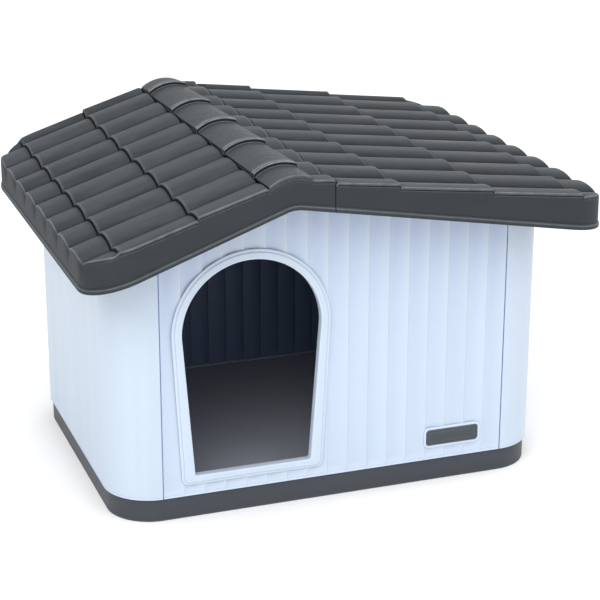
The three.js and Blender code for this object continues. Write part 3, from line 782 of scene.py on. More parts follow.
# In the roof plastics the lighter edge colour paints highlights and worn edges, such as the tile ends' rims,
# the lines behind valleys and the caps' lips; the crease colours paint shade.
ROOF_FINISH = MouldedPlastic(
    name="charcoal_roof_plastic",
    colour=(60, 65, 69),
    rub_and_highlight_colour=(124, 129, 134),
    creased=(6, 7, 8),
    roughness=0.42,
    roughness_spread=0.16,
    roughness_streaks=0.3,
    grain_scale=520.0,
    bump=0.3,
    rub_and_highlight_amount=0.65,
    crease=0.95,
    tone=0.75,
    swell=5.0,
    gloss=0.14,
)
CAP_FINISH = replace(
    ROOF_FINISH,
    name="charcoal_cap_plastic",
    rub_and_highlight_colour=(150, 155, 160),
    grain_scale=190.0,
    grain_depth=2.6,
    bump=0.6,
    rub_and_highlight_amount=0.8,
    tone=0.12,
    roughness_streaks=0.05,
)
# The roof's steep faces take this darker, duller copy of the roof plastic: painted shade, with a rougher
# surface.
SHADED_SKIRT_FINISH = replace(
    ROOF_FINISH,
    name="shaded_charcoal_skirt_plastic",
    colour=(49, 53, 57),
    rub_and_highlight_colour=(96, 101, 106),
    roughness=0.55,
    roughness_streaks=0.05,
    swell=0.0,
    tone=0.12,
    gloss=0.08,
)
BASE_FINISH = MouldedPlastic(
    name="slate_base_plastic",
    colour=(47, 52, 59),
    rub_and_highlight_colour=(86, 91, 98),
    creased=(26, 29, 33),
    roughness=0.5,
    grain_scale=700.0,
    bump=0.2,
    rub_and_highlight_amount=0.35,
    tone=0.06,
)
FLOOR_FINISH = replace(BASE_FINISH, name="grey_floor_plastic", colour=(152, 156, 167))
PLATE_FINISH = MouldedPlastic(
    name="blue_grey_plate_plastic",
    colour=(49, 57, 62),
    rub_and_highlight_colour=(100, 109, 115),
    creased=(24, 29, 33),
    roughness=0.42,
    grain_scale=1100.0,
    bump=0.18,
    rub_and_highlight_amount=0.5,
    tone=0.05,
)
STEEL_FINISH = PlatedSteel(name="zinc_plated_steel", colour=(182, 185, 188))


FINISHES = {
    "wall": WALL_FINISH,
    "inside_shade": INSIDE_SHADE_FINISH,
    "roof": ROOF_FINISH,
    "cap": CAP_FINISH,
    "skirt": SHADED_SKIRT_FINISH,
    "base": BASE_FINISH,
    "floor": FLOOR_FINISH,
    "plate": PLATE_FINISH,
    "steel": STEEL_FINISH,
}


@dataclass(frozen=True)
class Palette:
    """The materials that pieces are dressed with."""

    wall: Material
    inside_shade: Material
    roof: Material
    cap: Material
    skirt: Material
    base: Material
    floor: Material
    plate: Material
    steel: Material

    @classmethod
    def make(cls) -> "Palette":
        """Makes each material once."""
        effects = Effects()
        return cls(**{name: finish.build(effects) for name, finish in FINISHES.items()})


def dress(item: Object, *materials: Material) -> None:
    """Gives a piece its materials.

    Args:
        item: The piece.
        materials: The materials, in the order of its material slots.
    """
    item.data.materials.clear()
    for material in materials:
        item.data.materials.append(material)


def settle(item: Object, body: Body, slot: Slot, node: str, *materials: Material) -> None:
    """Sets a piece on its body, in the place of the node that it stands for.

    Args:
        item: The piece.
        body: The body that it rides on.
        slot: The record's material slot; not used.
        node: The node that it replaces.
        materials: What it is dressed with, unless it is dressed already.
    """
    if materials:
        dress(item, *materials)
    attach(item, body.value)
    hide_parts(node)
    log.info("%s: %d faces, replaces %s", item.name, len(item.data.polygons), node)


def paint_shaded_faces(item: Object, inside: Callable[[Vector, Vector], bool]) -> None:
    """Gives some faces of a piece its second material, a darker copy that paints shade on them.

    Args:
        item: The piece.
        inside: Says whether a face takes it, from its centre and normal.
    """
    for polygon in item.data.polygons:
        if inside(polygon.center, polygon.normal):
            polygon.material_index = 1

# ---------------------------------------------------------------- roof
@dataclass(frozen=True)
class Station:
    """A place on the tiles' valley line."""

    x: float
    z: float
    share: float = 1.0
    crease: float = 0.0
    edge: float = 0.0
    upper: int = 0


@dataclass(frozen=True)
class SideLook:
    """How the tiles of one side of the roof are rounded and shaded."""

    eave_round: float
    groove: float
    valley_dark: float
    slope_dark: float
    tile_rub_and_highlight: float


# The dark amounts paint shade in the valleys and on the barrels' sides that look to the front; the last amount
# lightens the tile ends, for worn edges and painted highlights.
SIDE_LOOKS = {
    Side.LEFT: SideLook(eave_round=5 * MM, groove=0.7 * MM, valley_dark=0.6, slope_dark=0.4, tile_rub_and_highlight=0.5),
    Side.RIGHT: SideLook(eave_round=12 * MM, groove=1.6 * MM, valley_dark=1.0, slope_dark=0.9, tile_rub_and_highlight=1.0),
}

# The crease mask paints the shadow in the groove below each step; the edge mask lightens the tile end's rim,
# for worn edges and painted highlights.
# Each row: millimetres towards the ridge, rise in millimetres, crease mask, edge mask.
TILE_END = (
    (-14.0, 0.0, 0.0, 0.0),
    (-5.0, 0.0, 0.25, 0.0),
    (-2.0, -0.2, 0.7, 0.0),
    (-0.9, -1.3, 1.0, 0.0),
    (-0.2, -1.4, 1.0, 0.0),
    (0.0, 1.0, 0.9, 0.0),
    (0.2, 3.9, 0.25, 0.5),
    (0.7, 5.1, 0.0, 1.0),
    (1.6, 5.9, 0.0, 1.0),
    (3.0, 6.4, 0.0, 0.5),
    (6.5, 6.3, 0.0, 0.0),
    (14.0, 6.0, 0.0, 0.0),
)
# The crease mask paints shade into the seam; the edge mask lightens the nose, for worn edges and painted
# highlights.
# Each row: millimetres to the right of the seam, rise in millimetres, crease mask, edge mask.
SEAM_NOSE = (
    (-9.0, 5.3, 0.0, 0.0),
    (-4.4, 5.5, 0.0, 0.3),
    (-3.2, 5.3, 0.0, 1.0),
    (-2.2, 4.6, 0.0, 1.0),
    (-1.2, 3.2, 0.3, 0.4),
    (-0.5, 1.4, 1.0, 0.0),
    (0.0, 0.2, 1.0, 0.0),
)


@dataclass(frozen=True)
class RoofForm:
    """The roof's driving sizes and the lines that follow from them."""

    left: float = cad_low.x
    right: float = cad_high.x
    half_depth: float = cad_high.y
    corner: float = 95 * MM
    ridge_x: float = -144.7 * MM
    skirt_apex: float = 671 * MM
    left_pitch: float = math.radians(20.06)
    right_pitch: float = math.radians(9.61)
    right_tile_pitch: float = math.radians(8.25)
    left_rise: float = 58 * MM
    right_rise: float = 46.2 * MM
    bend: float = 60 * MM
    seam_x: float = -61.5 * MM
    seam_gap: float = 0.3 * MM
    strip: float = 103.43 * MM
    first_strip: float = 72.4 * MM
    barrel: float = 11 * MM
    step: float = 6 * MM
    left_course: float = 150 * MM
    left_first: float = 64.2 * MM
    right_course: float = 200 * MM
    right_first: float = 77 * MM
    seam_step: float = 4 * MM
    overrun: float = 20 * MM
    skin: float = 3 * MM
    lid_round: float = 12 * MM
    arm_reach: float = 20 * MM
    arm_room: float = math.radians(15)
    hood_middle: float = -152 * MM
    hood_half: float = 44 * MM
    hood_fade: float = 3 * MM
    seam_round: float = 1.3 * MM
    seam_fade: float = 1.6 * MM
    recess: float = 3 * MM
    bead_height: float = 12 * MM
    bead_back: float = -0.5 * MM
    skirt_top: float = 9 * MM
    verge_reach: float = 22 * MM
    verge_fade: float = 4 * MM
    verge: float = 6 * MM
    fascia: float = 3.5 * MM
    cap_x: float = -140 * MM
    cap_left: float = -194 * MM
    cap_right: float = -110 * MM
    cap_radius: float = 85 * MM
    cap_crest: float = 736.5 * MM
    cap_thick: float = 4 * MM

    @property
    def outline(self) -> RoundedBox:
        """The roof's outline seen from above."""
        return RoundedBox(self.left, self.right, self.half_depth, self.corner)

    @property
    def first_valley(self) -> float:
        """The Y of the valley nearest the front."""
        return -self.half_depth + self.first_strip

    def left_low(self, x: float) -> float:
        """The tiles' lowest line on the left slope."""
        return self.skirt_apex + self.left_rise - math.tan(self.left_pitch) * (self.ridge_x - x)

    def right_low(self, x: float) -> float:
        """The tiles' lowest line on the right slope."""
        return self.skirt_apex + self.right_rise - math.tan(self.right_tile_pitch) * (x - self.ridge_x)

    @property
    def left_slope(self) -> float:
        """The slope of one course on the left."""
        return math.tan(self.left_pitch) - self.step / self.left_course

    @property
    def right_slope(self) -> float:
        """The slope of one course on the right."""
        return math.tan(self.right_tile_pitch) - self.step / self.right_course

    @property
    def hinge(self) -> tuple[float, float]:
        """The X and Z of the lid's hinge line."""
        edge = self.seam_x + self.seam_gap
        return edge + self.lid_round, self.top_course(edge) + self.barrel - self.lid_round

    def cap_under(self, x: float | np.ndarray) -> float | np.ndarray:
        """The height of the ridge cap's underside."""
        return self.cap_height(x) - self.cap_thick - self.seam_gap

    def cap_height(self, x: float | np.ndarray) -> float | np.ndarray:
        """The ridge cap's height across the ridge, before its caps rise to their lips."""
        return self.cap_crest - self.cap_radius + np.sqrt(self.cap_radius**2 - (x - self.cap_x) ** 2)

    def skirt_low(self, x: np.ndarray) -> np.ndarray:
        """The height of the skirt's lower edge.

        Args:
            x: Places along X.

        Returns:
            The heights.
        """
        reach = self.bend * math.tan((self.left_pitch + self.right_pitch) / 2)
        far = 1.0
        start = (-reach * math.cos(self.left_pitch), -reach * math.sin(self.left_pitch))
        end = (reach * math.cos(self.right_pitch), -reach * math.sin(self.right_pitch))
        share = np.linspace(0, 1, 13)
        curve_x = (1 - share) ** 2 * start[0] + share**2 * end[0]
        curve_z = (1 - share) ** 2 * start[1] + share**2 * end[1]
        line_x = [-far, *curve_x, far]
        line_z = [-far * math.tan(self.left_pitch), *curve_z, -far * math.tan(self.right_pitch)]
        return self.skirt_apex + np.interp(x - self.ridge_x, line_x, line_z)

    def tile_end(self, x: float, z: float, slope: float, side: Side) -> list[Station]:
        """The rounded end of a tile that lies on the course below it.

        Args:
            x: Where the tile ends.
            z: The height of the lower course there.
            slope: The slope of the courses.
            side: The side of the roof that it lies on.

        Returns:
            Stations from the lower course up to the upper one.
        """
        upper = -side.value
        rub_and_highlight_amount = SIDE_LOOKS[side].tile_rub_and_highlight
        line = []
        for along, rise, crease, edge in TILE_END:
            height = z + slope * along * MM + rise * MM
            line.append(Station(x + upper * along * MM, height, 1.0, crease, edge * rub_and_highlight_amount, upper))
        return line

    def left_stations(self) -> list[Station]:
        """The valley line of the fixed panel.

        Returns:
            Stations from the left eave over the ridge to the seam.
        """
        slope = self.left_slope
        ends = []
        x = self.left + self.left_first
        while x < self.cap_left - 6 * MM:
            ends.append(x)
            x += self.left_course
        eave = self.left_low(ends[0]) - slope * (self.left_first + self.overrun)
        line = [Station(self.left - self.overrun, eave)]
        for end in ends:
            line += self.tile_end(end, self.left_low(end), slope, Side.LEFT)
        beside = self.left_low(ends[-1]) + self.step + slope * (self.cap_left - ends[-1])
        # Under the cap's left edge the crease mask paints the shadow that the cap casts.
        for along, rise, share, crease in (
            (-12.0, slope * -12.0, 0.8, 0.0),
            (-6.0, slope * -6.0, 0.75, 0.1),
            (-2.0, -2.5, 0.6, 1.0),
            (3.0, -4.5, 0.4, 1.0),
            (13.0, -3.0, 0.0, 1.0),
        ):
            line.append(Station(self.cap_left + along * MM, beside + rise * MM, share, crease))
        for x in np.linspace(self.cap_left + 14 * MM, self.cap_right - 12 * MM, 6):
            line.append(Station(float(x), float(self.cap_under(x)), 0.0))
        for along, share, crease in ((-11.0, 0.4, 1.0), (-1.0, 1.0, 1.0), (3.0, 1.0, 0.4), (9.0, 1.0, 0.0)):
            x = self.cap_right + along * MM
            line.append(Station(x, self.top_course(x) + self.seam_step, share, crease))
        for along, rise, crease, edge in SEAM_NOSE:
            x = self.seam_x + along * MM
            line.append(Station(x, self.top_course(x) + rise * MM, 1.0, crease, edge))
        return line

    def top_course(self, x: float) -> float:
        """The valley height of the right slope's highest course."""
        end = self.right_ends()[-1]
        return self.right_low(end) + self.step + self.right_slope * (end - x)

    def right_ends(self) -> list[float]:
        """Where the tiles of the right slope end.

        Returns:
            Their X, from the eave up.
        """
        ends = []
        x = self.right - self.right_first
        while x > self.seam_x + 6 * MM:
            ends.append(x)
            x -= self.right_course
        return ends

    def right_stations(self) -> list[Station]:
        """The valley line of the lid.

        Returns:
            Stations from the seam down to the right eave.
        """
        ends = self.right_ends()
        eave = self.right_low(ends[0]) - self.right_slope * (self.right_first + self.overrun)
        line = [Station(self.right + self.overrun, eave)]
        for end in ends:
            line += self.tile_end(end, self.right_low(end), self.right_slope, Side.RIGHT)
        # Beside the seam the crease mask paints the shade in the gap.
        for along in (24.0, 17.0, 12.0, 8.5, 6.0, 4.0, 2.4, 1.2, 0.4, 0.0):
            x = self.seam_x + self.seam_gap + along * MM
            line.append(Station(x, self.top_course(x), 1.0, max(0.0, 1.0 - along / 7.0)))
        return line[::-1]

    def wave(self, y: np.ndarray) -> np.ndarray:
        """How far the barrel of a tile strip rises over its valleys.

        Args:
            y: Places along Y.

        Returns:
            The rises.
        """
        strips = (y - self.first_valley) / self.strip
        across = 2 * (strips - np.floor(strips)) - 1
        return self.barrel * (1 - across**2)

    def valley_nearness(self, y: np.ndarray, width: float) -> np.ndarray:
        """How near places lie to a valley.

        Args:
            y: Places along Y.
            width: How fast the nearness fades.

        Returns:
            1 in the valley and 0 well away from it.
        """
        strips = (y - self.first_valley) / self.strip
        away = np.abs(strips - np.round(strips)) * self.strip
        return np.exp(-((away / width) ** 2))

    def shade_side(self, y: np.ndarray) -> np.ndarray:
        """How much places lie low on the side of a barrel that looks to the front, where painted shade goes.
        """
        strips = (y - self.first_valley) / self.strip
        return np.clip(1 - (strips - np.floor(strips)) / 0.45, 0, 1) ** 1.5

    def rows(self) -> np.ndarray:
        """Places where the tiles' surface is drawn, closer together at valleys, corners and verges.

        Returns:
            Their Y, from the front.
        """
        near = np.array([0, 0.5, 1.0, 1.7, 2.8, 4.5, 7.5, 12, 18, 25, 33, 42]) * MM
        half = self.half_depth - self.verge
        count = int(2 * self.half_depth / self.strip) + 2
        valleys = [self.first_valley + k * self.strip for k in range(-1, count)]
        rows = [valley + way * near for valley in valleys for way in (-1, 1)]
        turn = np.radians(np.linspace(0, 90, 15))
        corner = half - (self.corner - self.verge) * (1 - np.sin(turn))
        rows += [corner, -corner, np.array([half - 1.5 * MM, half - 4 * MM, 1.5 * MM - half, 4 * MM - half])]
        found = np.unique(np.round(np.concatenate(rows), 6))
        found = found[np.abs(found) <= half + 1e-7]
        apart = np.concatenate([[True], np.diff(found) > 0.25 * MM])
        apart[-1] = True
        return found[apart]


# The edge mask paints the verge's highlight lines and lightens its worn edges; the crease mask paints the
# shade in its groove.
# Each row: millimetres out, rise in millimetres, edge mask, crease mask, depth at the eave in millimetres.
VERGE_BEAD = (
    (0.0, 0.0, 0.0, 0.0, 3.5),
    (1.2, -0.05, 0.2, 0.0, 2.9),
    (2.4, -0.3, 0.6, 0.0, 2.3),
    (3.4, -0.9, 1.0, 0.0, 1.7),
    (4.1, -1.8, 1.0, 0.0, 1.2),
    (4.5, -3.0, 0.8, 0.0, 0.8),
    (4.5, -4.4, 0.6, 0.0, 0.5),
    (4.0, -5.3, 0.3, 0.3, 0.25),
    (2.9, -5.8, 0.0, 0.9, 0.1),
    (2.5, -6.5, 0.0, 1.0, 0.03),
    (2.9, -7.4, 0.1, 0.6, 0.0),
    (3.5, -8.2, 0.5, 0.1, 0.0),
)
# The edge mask paints the bead's highlight lines and lightens its worn edges; the crease mask paints the shade
# beside it.
# Each row: millimetres out, millimetres above the skirt's lower edge, edge mask, crease mask.
SKIRT_BEAD = (
    (3.5, 11.5, 0.0, 0.4),
    (4.0, 10.2, 0.0, 0.3),
    (5.2, 9.0, 0.3, 0.0),
    (5.9, 7.6, 0.6, 0.0),
    (6.0, 6.0, 0.2, 0.0),
    (6.0, 2.4, 0.0, 0.1),
    (5.7, 1.0, 0.4, 0.0),
    (4.9, 0.2, 0.4, 0.2),
    (3.8, 0.0, 0.4, 0.5),
    (0.6, 0.0, 0.0, 0.8),
    (-0.5, 0.8, 0.0, 0.6),
)


class RoofPanel:
    """One moulding of the roof: tiles above, a skirt round its outer sides and a plain skin below."""

    def __init__(self, form: RoofForm, side: Side) -> None:
        """Keeps the form and the side.

        Args:
            form: The roof's sizes.
            side: LEFT for the fixed panel, RIGHT for the lid.
        """
        self.form = form
        self.side = side
        self.rows = form.rows()
        self.look = SIDE_LOOKS[side]
        self.line = self.filled(form.left_stations() if side is Side.LEFT else form.right_stations())
        self.edge_offsets = np.array([0, 0.8, 2.0, 3.8, 6.2, 9.5, 13.5]) * MM

    @staticmethod
    def filled(line: list[Station]) -> list[Station]:
        """Adds stations to long stretches.

        Args:
            line: Stations from left to right.

        Returns:
            The line with a station at least every 30 mm.
        """
        out = [line[0]]
        for a, b in zip(line, line[1:]):
            count = int((b.x - a.x) / (30 * MM))
            for part in np.linspace(0, 1, count + 2)[1:-1]:
                x = a.x + (b.x - a.x) * part
                z = a.z + (b.z - a.z) * part
                out.append(Station(x, z, a.share + (b.share - a.share) * part, a.crease * (1 - part)))
            out.append(b)
        return out

    def columns(self, depth: float) -> np.ndarray:
        """The X of each column of the surface, row by row.

        Args:
            depth: How far the surface lies under the tiles.

        Returns:
            Places shaped (rows, columns).
        """
        box = self.form.outline.inset(self.form.verge)
        low, high = box.reach(self.rows)
        x = np.array([station.x + station.upper * depth for station in self.line])
        group = self.edge_offsets
        if self.side is Side.LEFT:
            inner = x[x > self.form.left + self.form.verge + group[-1] + MM]
            inside = np.maximum(inner[None, :], low[:, None] + group[-1])
            return np.hstack([low[:, None] + group[None, :-1], inside])
        inner = x[x < self.form.right - self.form.verge - group[-1] - MM]
        inside = np.minimum(inner[None, :], high[:, None] - group[-1])
        inside = np.maximum(inside, self.hinged_edge()[:, None])
        return np.hstack([inside, high[:, None] - group[None, -2::-1]])

    def arm_room(self, y: np.ndarray) -> np.ndarray:
        """The slope below which the lid's rounded edge is cut back, where the hinge arms stand."""
        form = self.form
        return np.where(np.abs(y) > form.half_depth - form.arm_reach, math.tan(form.arm_room), 0.0)

    def hinged_edge(self) -> np.ndarray:
        """Where the lid's skin ends beside the hinge, row by row."""
        return self.form.hinge[0] - self.form.lid_round * np.cos(np.arctan(self.arm_room(self.rows)))

    def values(self, x: np.ndarray, key: str, depth: float) -> np.ndarray:
        """Reads one value of the valley line at places along X."""
        line_x = np.array([station.x + station.upper * depth for station in self.line])
        return np.interp(x, line_x, np.array([getattr(station, key) for station in self.line]))

    def drop(self, depth: np.ndarray) -> np.ndarray:
        """How far the eave's rounding falls at a depth inside the fascia."""
        inside = np.clip(self.look.eave_round - depth, 0, self.look.eave_round)
        return self.look.eave_round - np.sqrt(np.maximum(self.look.eave_round**2 - inside**2, 0))

    def eave_share(self, x: np.ndarray, y: np.ndarray) -> tuple[np.ndarray, np.ndarray]:
        """How much points belong to the eave.

        Args:
            x: Places along X.
            y: Places along Y.

        Returns:
            The shares, and the depths inside the fascia.
        """
        towards_x, _, depth = self.form.outline.outward(x, y)
        own = np.clip(towards_x * self.side.value, 0, 1) ** 2
        return own, depth - (self.form.verge - self.form.fascia)

    def height(self, x: np.ndarray, y: np.ndarray, depth: float) -> np.ndarray:
        """The surface's height.

        Args:
            x: Places along X.
            y: Places along Y.
            depth: How far the surface lies under the tiles.

        Returns:
            The heights.
        """
        form = self.form
        share = self.values(x, "share", depth)
        z = self.values(x, "z", depth) + share * form.wave(y) - depth
        own, inside = self.eave_share(x, y)
        z -= own * self.drop(inside)
        if self.side is Side.RIGHT:
            hinge_x, hinge_z = form.hinge
            across = np.clip(hinge_x - x, 0, form.lid_round)
            arc = np.sqrt(np.maximum((form.lid_round - depth) ** 2 - across**2, 0))
            rounded = np.maximum(np.minimum(z, hinge_z + arc), hinge_z + across * self.arm_room(y))
            z = np.where(x < hinge_x, rounded, z)
        else:
            verge = np.clip((np.abs(y) - (form.half_depth - form.verge_reach)) / form.verge_fade, 0, 1)
            capped = (x > form.cap_left) & (x < form.cap_right)
            filled = z + (form.cap_under(np.clip(x, form.cap_left, form.cap_right)) - depth - z) * verge
            z = np.where(capped, np.maximum(z, filled), z)
        if depth == 0:
            groove = form.valley_nearness(y - 1.3 * MM, 2.4 * MM) + 0.5 * form.valley_nearness(y, 1.2 * MM)
            z -= self.look.groove * share * groove
        return z

    def surface(self, depth: float) -> np.ndarray:
        """The surface at a depth.

        Args:
            depth: How far it lies under the tiles.

        Returns:
            Its points, shaped (rows, columns, 3).
        """
        x = self.columns(depth)
        y = np.broadcast_to(self.rows[:, None], x.shape)
        return np.stack([x, y, self.height(x, y, depth)], axis=-1)

    def border(self, grid: np.ndarray) -> np.ndarray:
        """The surface's outer border: along the front, round the eave and back along the rear.

        Args:
            grid: Points or values, shaped (rows, columns, ...).

        Returns:
            The border's points or values in order.
        """
        if self.side is Side.LEFT:
            return np.concatenate([grid[0, ::-1], grid[1:-1, 0], grid[-1]])
        return np.concatenate([grid[0], grid[1:-1, -1], grid[-1, ::-1]])

    def skirt(self, top: np.ndarray, under: np.ndarray) -> tuple[np.ndarray, np.ndarray, np.ndarray]:
        """The skirt from the surface's border down its face, round its bead and up inside.

        Args:
            top: The border of the tiles.
            under: The border of the skin below them.

        Returns:
            The points, shaped (rows, border points, 3), and the edge and crease masks.
        """
        form = self.form
        x, y, z = top.T
        outward = directions(form.outline.inset(form.verge), top[:, :2])
        own = np.clip(outward[:, 0] * self.side.value, 0, 1) ** 2
        capped = np.clip((np.abs(x - form.hood_middle) - form.hood_half) / form.hood_fade, 0, 1)
        free = self.freed(x)
        near_seam = np.clip(1 - np.abs(free - form.seam_x) / form.seam_fade, 0, 1)
        seam_round = form.seam_round * near_seam**2
        start = self.drop(np.array(form.fascia))
        fascia = form.fascia / MM
        recess = form.recess * own * (1 - form.wave(y) / form.barrel) ** 1.2
        last = len(VERGE_BEAD) - 1
        # Along the verge and round the eave's rounded edge the edge mask paints highlights and worn edges, and
        # the crease mask painted shade.
        section = Section(len(x))
        for k, (out, rise, edge, crease, depth) in enumerate(VERGE_BEAD):
            plain_out = min(out, fascia) if k < 7 else fascia
            front_out = (plain_out + (out - plain_out) * capped) * MM
            side_out = (fascia - depth) * MM
            side_fall = start - self.drop(np.array(depth * MM)) - (1.5 * MM if k == last else 0)
            section.add(
                (1 - own) * front_out + own * side_out - recess * min(1.0, k / 5),
                z + (1 - own) * rise * MM + own * side_fall,
                (1 - own) * edge * (0.4 + 0.6 * capped) + own * (0.7 if 1 < k < 8 else 0.0),
                (1 - own) * crease * capped,
            )
        foot = form.skirt_low(x)
        upper = section.rows[-1][1]
        lower = foot + form.bead_height
        # The crease mask paints shade into the skirt's flutes, fading downward.
        for share in (0.06, 0.16, 0.28, 0.42, 0.58, 0.76, 0.92):
            fade = max(0.0, 1 - share / 0.75) ** 1.3
            crease = 0.35 * own * fade * (recess / form.recess)
            section.add(form.fascia - recess * fade, upper + (lower - upper) * share, 0.0, crease)
        for out, rise, edge, crease in SKIRT_BEAD:
            section.add(out * MM, foot + rise * MM, edge, crease)
        section.add(form.bead_back, z - form.skirt_top)
        points = sweep(top[:, :2], outward, [(out - seam_round, height) for out, height in section.rows])
        below = np.clip((form.hinge[1] + 2 * MM - points[..., 2]) / (4 * MM), 0, 1)
        points[..., 0] += (free - x) * below
        points = np.concatenate([points, under[None]])
        zero = np.zeros_like(x)
        creases = [np.maximum(crease, near_seam) for crease in section.creases]
        return points, np.stack([*section.edges, zero]), np.stack([*creases, zero])

    def freed(self, x: np.ndarray) -> np.ndarray:
        """Where points of the border stand below the hinge line, where the skirt reaches the seam.

        Args:
            x: Places along X on the border.

        Returns:
            The places below the hinge line.
        """
        if self.side is Side.LEFT:
            return x
        edge = self.form.seam_x + self.form.seam_gap
        hinge_x = self.form.hinge[0]
        return np.interp(x, [x.min(), hinge_x, 1.0], [edge, hinge_x, 1.0])

    def build(self, name: str) -> Object:
        """Makes the panel.

        Args:
            name: The piece's name.

        Returns:
            The panel.
        """
        shell = Shell()
        form = self.form
        look = self.look
        tiles = self.surface(0.0)
        x, y = tiles[..., 0], tiles[..., 1]
        share = self.values(x, "share", 0.0)
        # Painted shade in each valley and on each barrel's side that looks to the front, and a painted
        # highlight line behind each valley.
        valley = look.valley_dark * form.valley_nearness(y - 2.0 * MM, 3.6 * MM) * np.clip(share * 2, 0, 1)
        crease = np.maximum(self.values(x, "crease", 0.0), valley)
        crease = np.maximum(crease, look.slope_dark * form.shade_side(y) * share)
        rear_highlight = 0.9 * form.valley_nearness(y + 5.5 * MM, 3.0 * MM) * share
        shell.sheet(tiles, np.maximum(self.values(x, "edge", 0.0), rear_highlight), crease)
        skin = self.surface(form.skin)
        shell.sheet(skin)
        shell.close_ends(shell.sheet(*self.skirt(self.border(tiles), self.border(skin))))
        seam = -1 if self.side is Side.LEFT else 0
        shell.sheet(np.stack([tiles[:, seam], skin[:, seam]]))
        return shell.build(name)


# The edge mask paints each lip's highlight lines and worn edges; the crease mask paints the shade on its face
# and in the groove behind it.
# Each row: millimetres behind the lip, rise in millimetres, edge mask, crease mask.
CAP_LIP = (
    (-9.0, -1.4, 0.0, 0.0),
    (-4.0, -1.5, 0.0, 0.2),
    (-2.0, -1.6, 0.0, 0.9),
    (-1.2, -1.4, 0.3, 0.3),
    (-0.7, -0.5, 0.5, 0.0),
    (-0.4, 0.1, 0.0, 0.8),
    (-0.1, 3.4, 0.0, 0.9),
    (0.1, 5.0, 0.3, 0.3),
    (0.6, 6.1, 1.0, 0.0),
    (1.6, 6.65, 1.0, 0.0),
    (2.8, 6.6, 0.4, 0.0),
    (4.6, 5.9, 0.0, 0.5),
    (6.4, 5.1, 0.0, 1.0),
    (7.8, 5.1, 0.0, 0.8),
    (9.2, 5.8, 0.6, 0.0),
    (11.0, 6.2, 0.8, 0.0),
    (14.0, 6.2, 0.1, 0.0),
)
# The edge mask lightens the strip's ends, for worn edges and painted highlights.
# Each row: millimetres from the strip's end, fall in millimetres, edge mask.
CAP_END = ((0, 3.0, 0.1), (0.3, 1.7, 0.3), (1.2, 0.6, 0.4), (2.8, 0.0, 0.1))
# The crease mask paints the shadow under the strip's sides; the edge mask lightens them, for worn edges and
# painted highlights.
# Each row: millimetres from the strip's side, fall in millimetres, edge mask, crease mask.
CAP_SIDE = (
    (0.0, 4.0, 0.0, 1.0),
    (0.0, 2.2, 0.0, 1.0),
    (0.2, 1.2, 0.1, 0.6),
    (0.6, 0.5, 0.15, 0.3),
    (1.4, 0.1, 0.1, 0.1),
    (2.6, 0.0, 0.0, 0.0),
)


@dataclass
class RidgeCap:
    """The strip of overlapping ridge caps."""

    form: RoofForm
    pitch: float = 190 * MM
    first: float = 91 * MM
    lip: float = 6.7 * MM
    end_gap: float = 2.5 * MM
    flare: float = 0.06
    course_fall: float = 0.043
    rear_fall: float = 0.085
    # How much the strip's sides are lightened, for worn edges and painted highlights.
    side_rub_and_highlight: float = 0.8

    def rows(self) -> Profile:
        """Places along the strip.

        Returns:
            The Y, the rise, the edge mask and the crease mask of each, from the front.
        """
        front = -self.form.half_depth + self.end_gap
        rear = self.form.half_depth - self.end_gap
        found = []
        lips = np.arange(-self.form.half_depth + self.first - self.pitch, rear, self.pitch)
        for lip_y in lips:
            for along, rise, edge, crease in CAP_LIP:
                found.append((lip_y + along * MM, rise * MM, edge, crease))
            fall = self.course_fall if lip_y < lips[-1] - MM else self.rear_fall
            for along in np.linspace(30, 175, 6):
                found.append((lip_y + along * MM, self.lip - fall * along * MM, 0.0, 0.0))
        inside = [row for row in found if front + 5 * MM < row[0] < rear - 5 * MM]
        before = self.lip - self.course_fall * (self.pitch - self.first)
        after = self.lip - self.rear_fall * (rear - lips[-1])
        start = [(front + along * MM, before - fall * MM, edge, 0.0) for along, fall, edge in CAP_END]
        finish = [(rear - along * MM, after - fall * MM, edge, 0.0) for along, fall, edge in CAP_END]
        return [*start, *sorted(inside), *finish[::-1]]

    def section(self) -> Profile:
        """Places across the strip.

        Returns:
            The X, the fall below the arc, the edge mask and the crease mask of each, from the left.
        """
        form = self.form
        across = np.linspace(form.cap_left + 6 * MM, form.cap_right - 6 * MM, 22)
        points = [(form.cap_left + along * MM, fall * MM, edge, dark) for along, fall, edge, dark in CAP_SIDE]
        points += [(float(x), 0.0, 0.0, 0.0) for x in across]
        right = [(form.cap_right - along * MM, fall * MM, edge, dark) for along, fall, edge, dark in CAP_SIDE]
        return points + right[::-1]

    def build(self, name: str) -> Object:
        """Makes the strip.

        Args:
            name: The piece's name.

        Returns:
            The strip.
        """
        form = self.form
        y, rise, row_edge, row_crease = np.array(self.rows()).T[:, :, None]
        x, fall, edge, crease = np.array(self.section()).T
        top = form.cap_height(x) - fall
        lifted = np.ones_like(x)
        lifted[[0, -1]] = 0.0
        wide = form.cap_x + (x - form.cap_x) * (1 + self.flare * rise / self.lip)
        points = np.stack(np.broadcast_arrays(wide, y, top + rise * lifted), axis=-1)
        shell = Shell()
        shell.sheet(points, np.maximum(edge * self.side_rub_and_highlight, row_edge), np.maximum(crease, row_crease))
        under = points.copy()
        under[..., 2] = np.minimum(form.cap_height(x) - form.cap_thick, top)
        shell.sheet(under)
        for row in (0, -1):
            shell.sheet(np.stack([points[row], under[row]]))
        return shell.build(name)


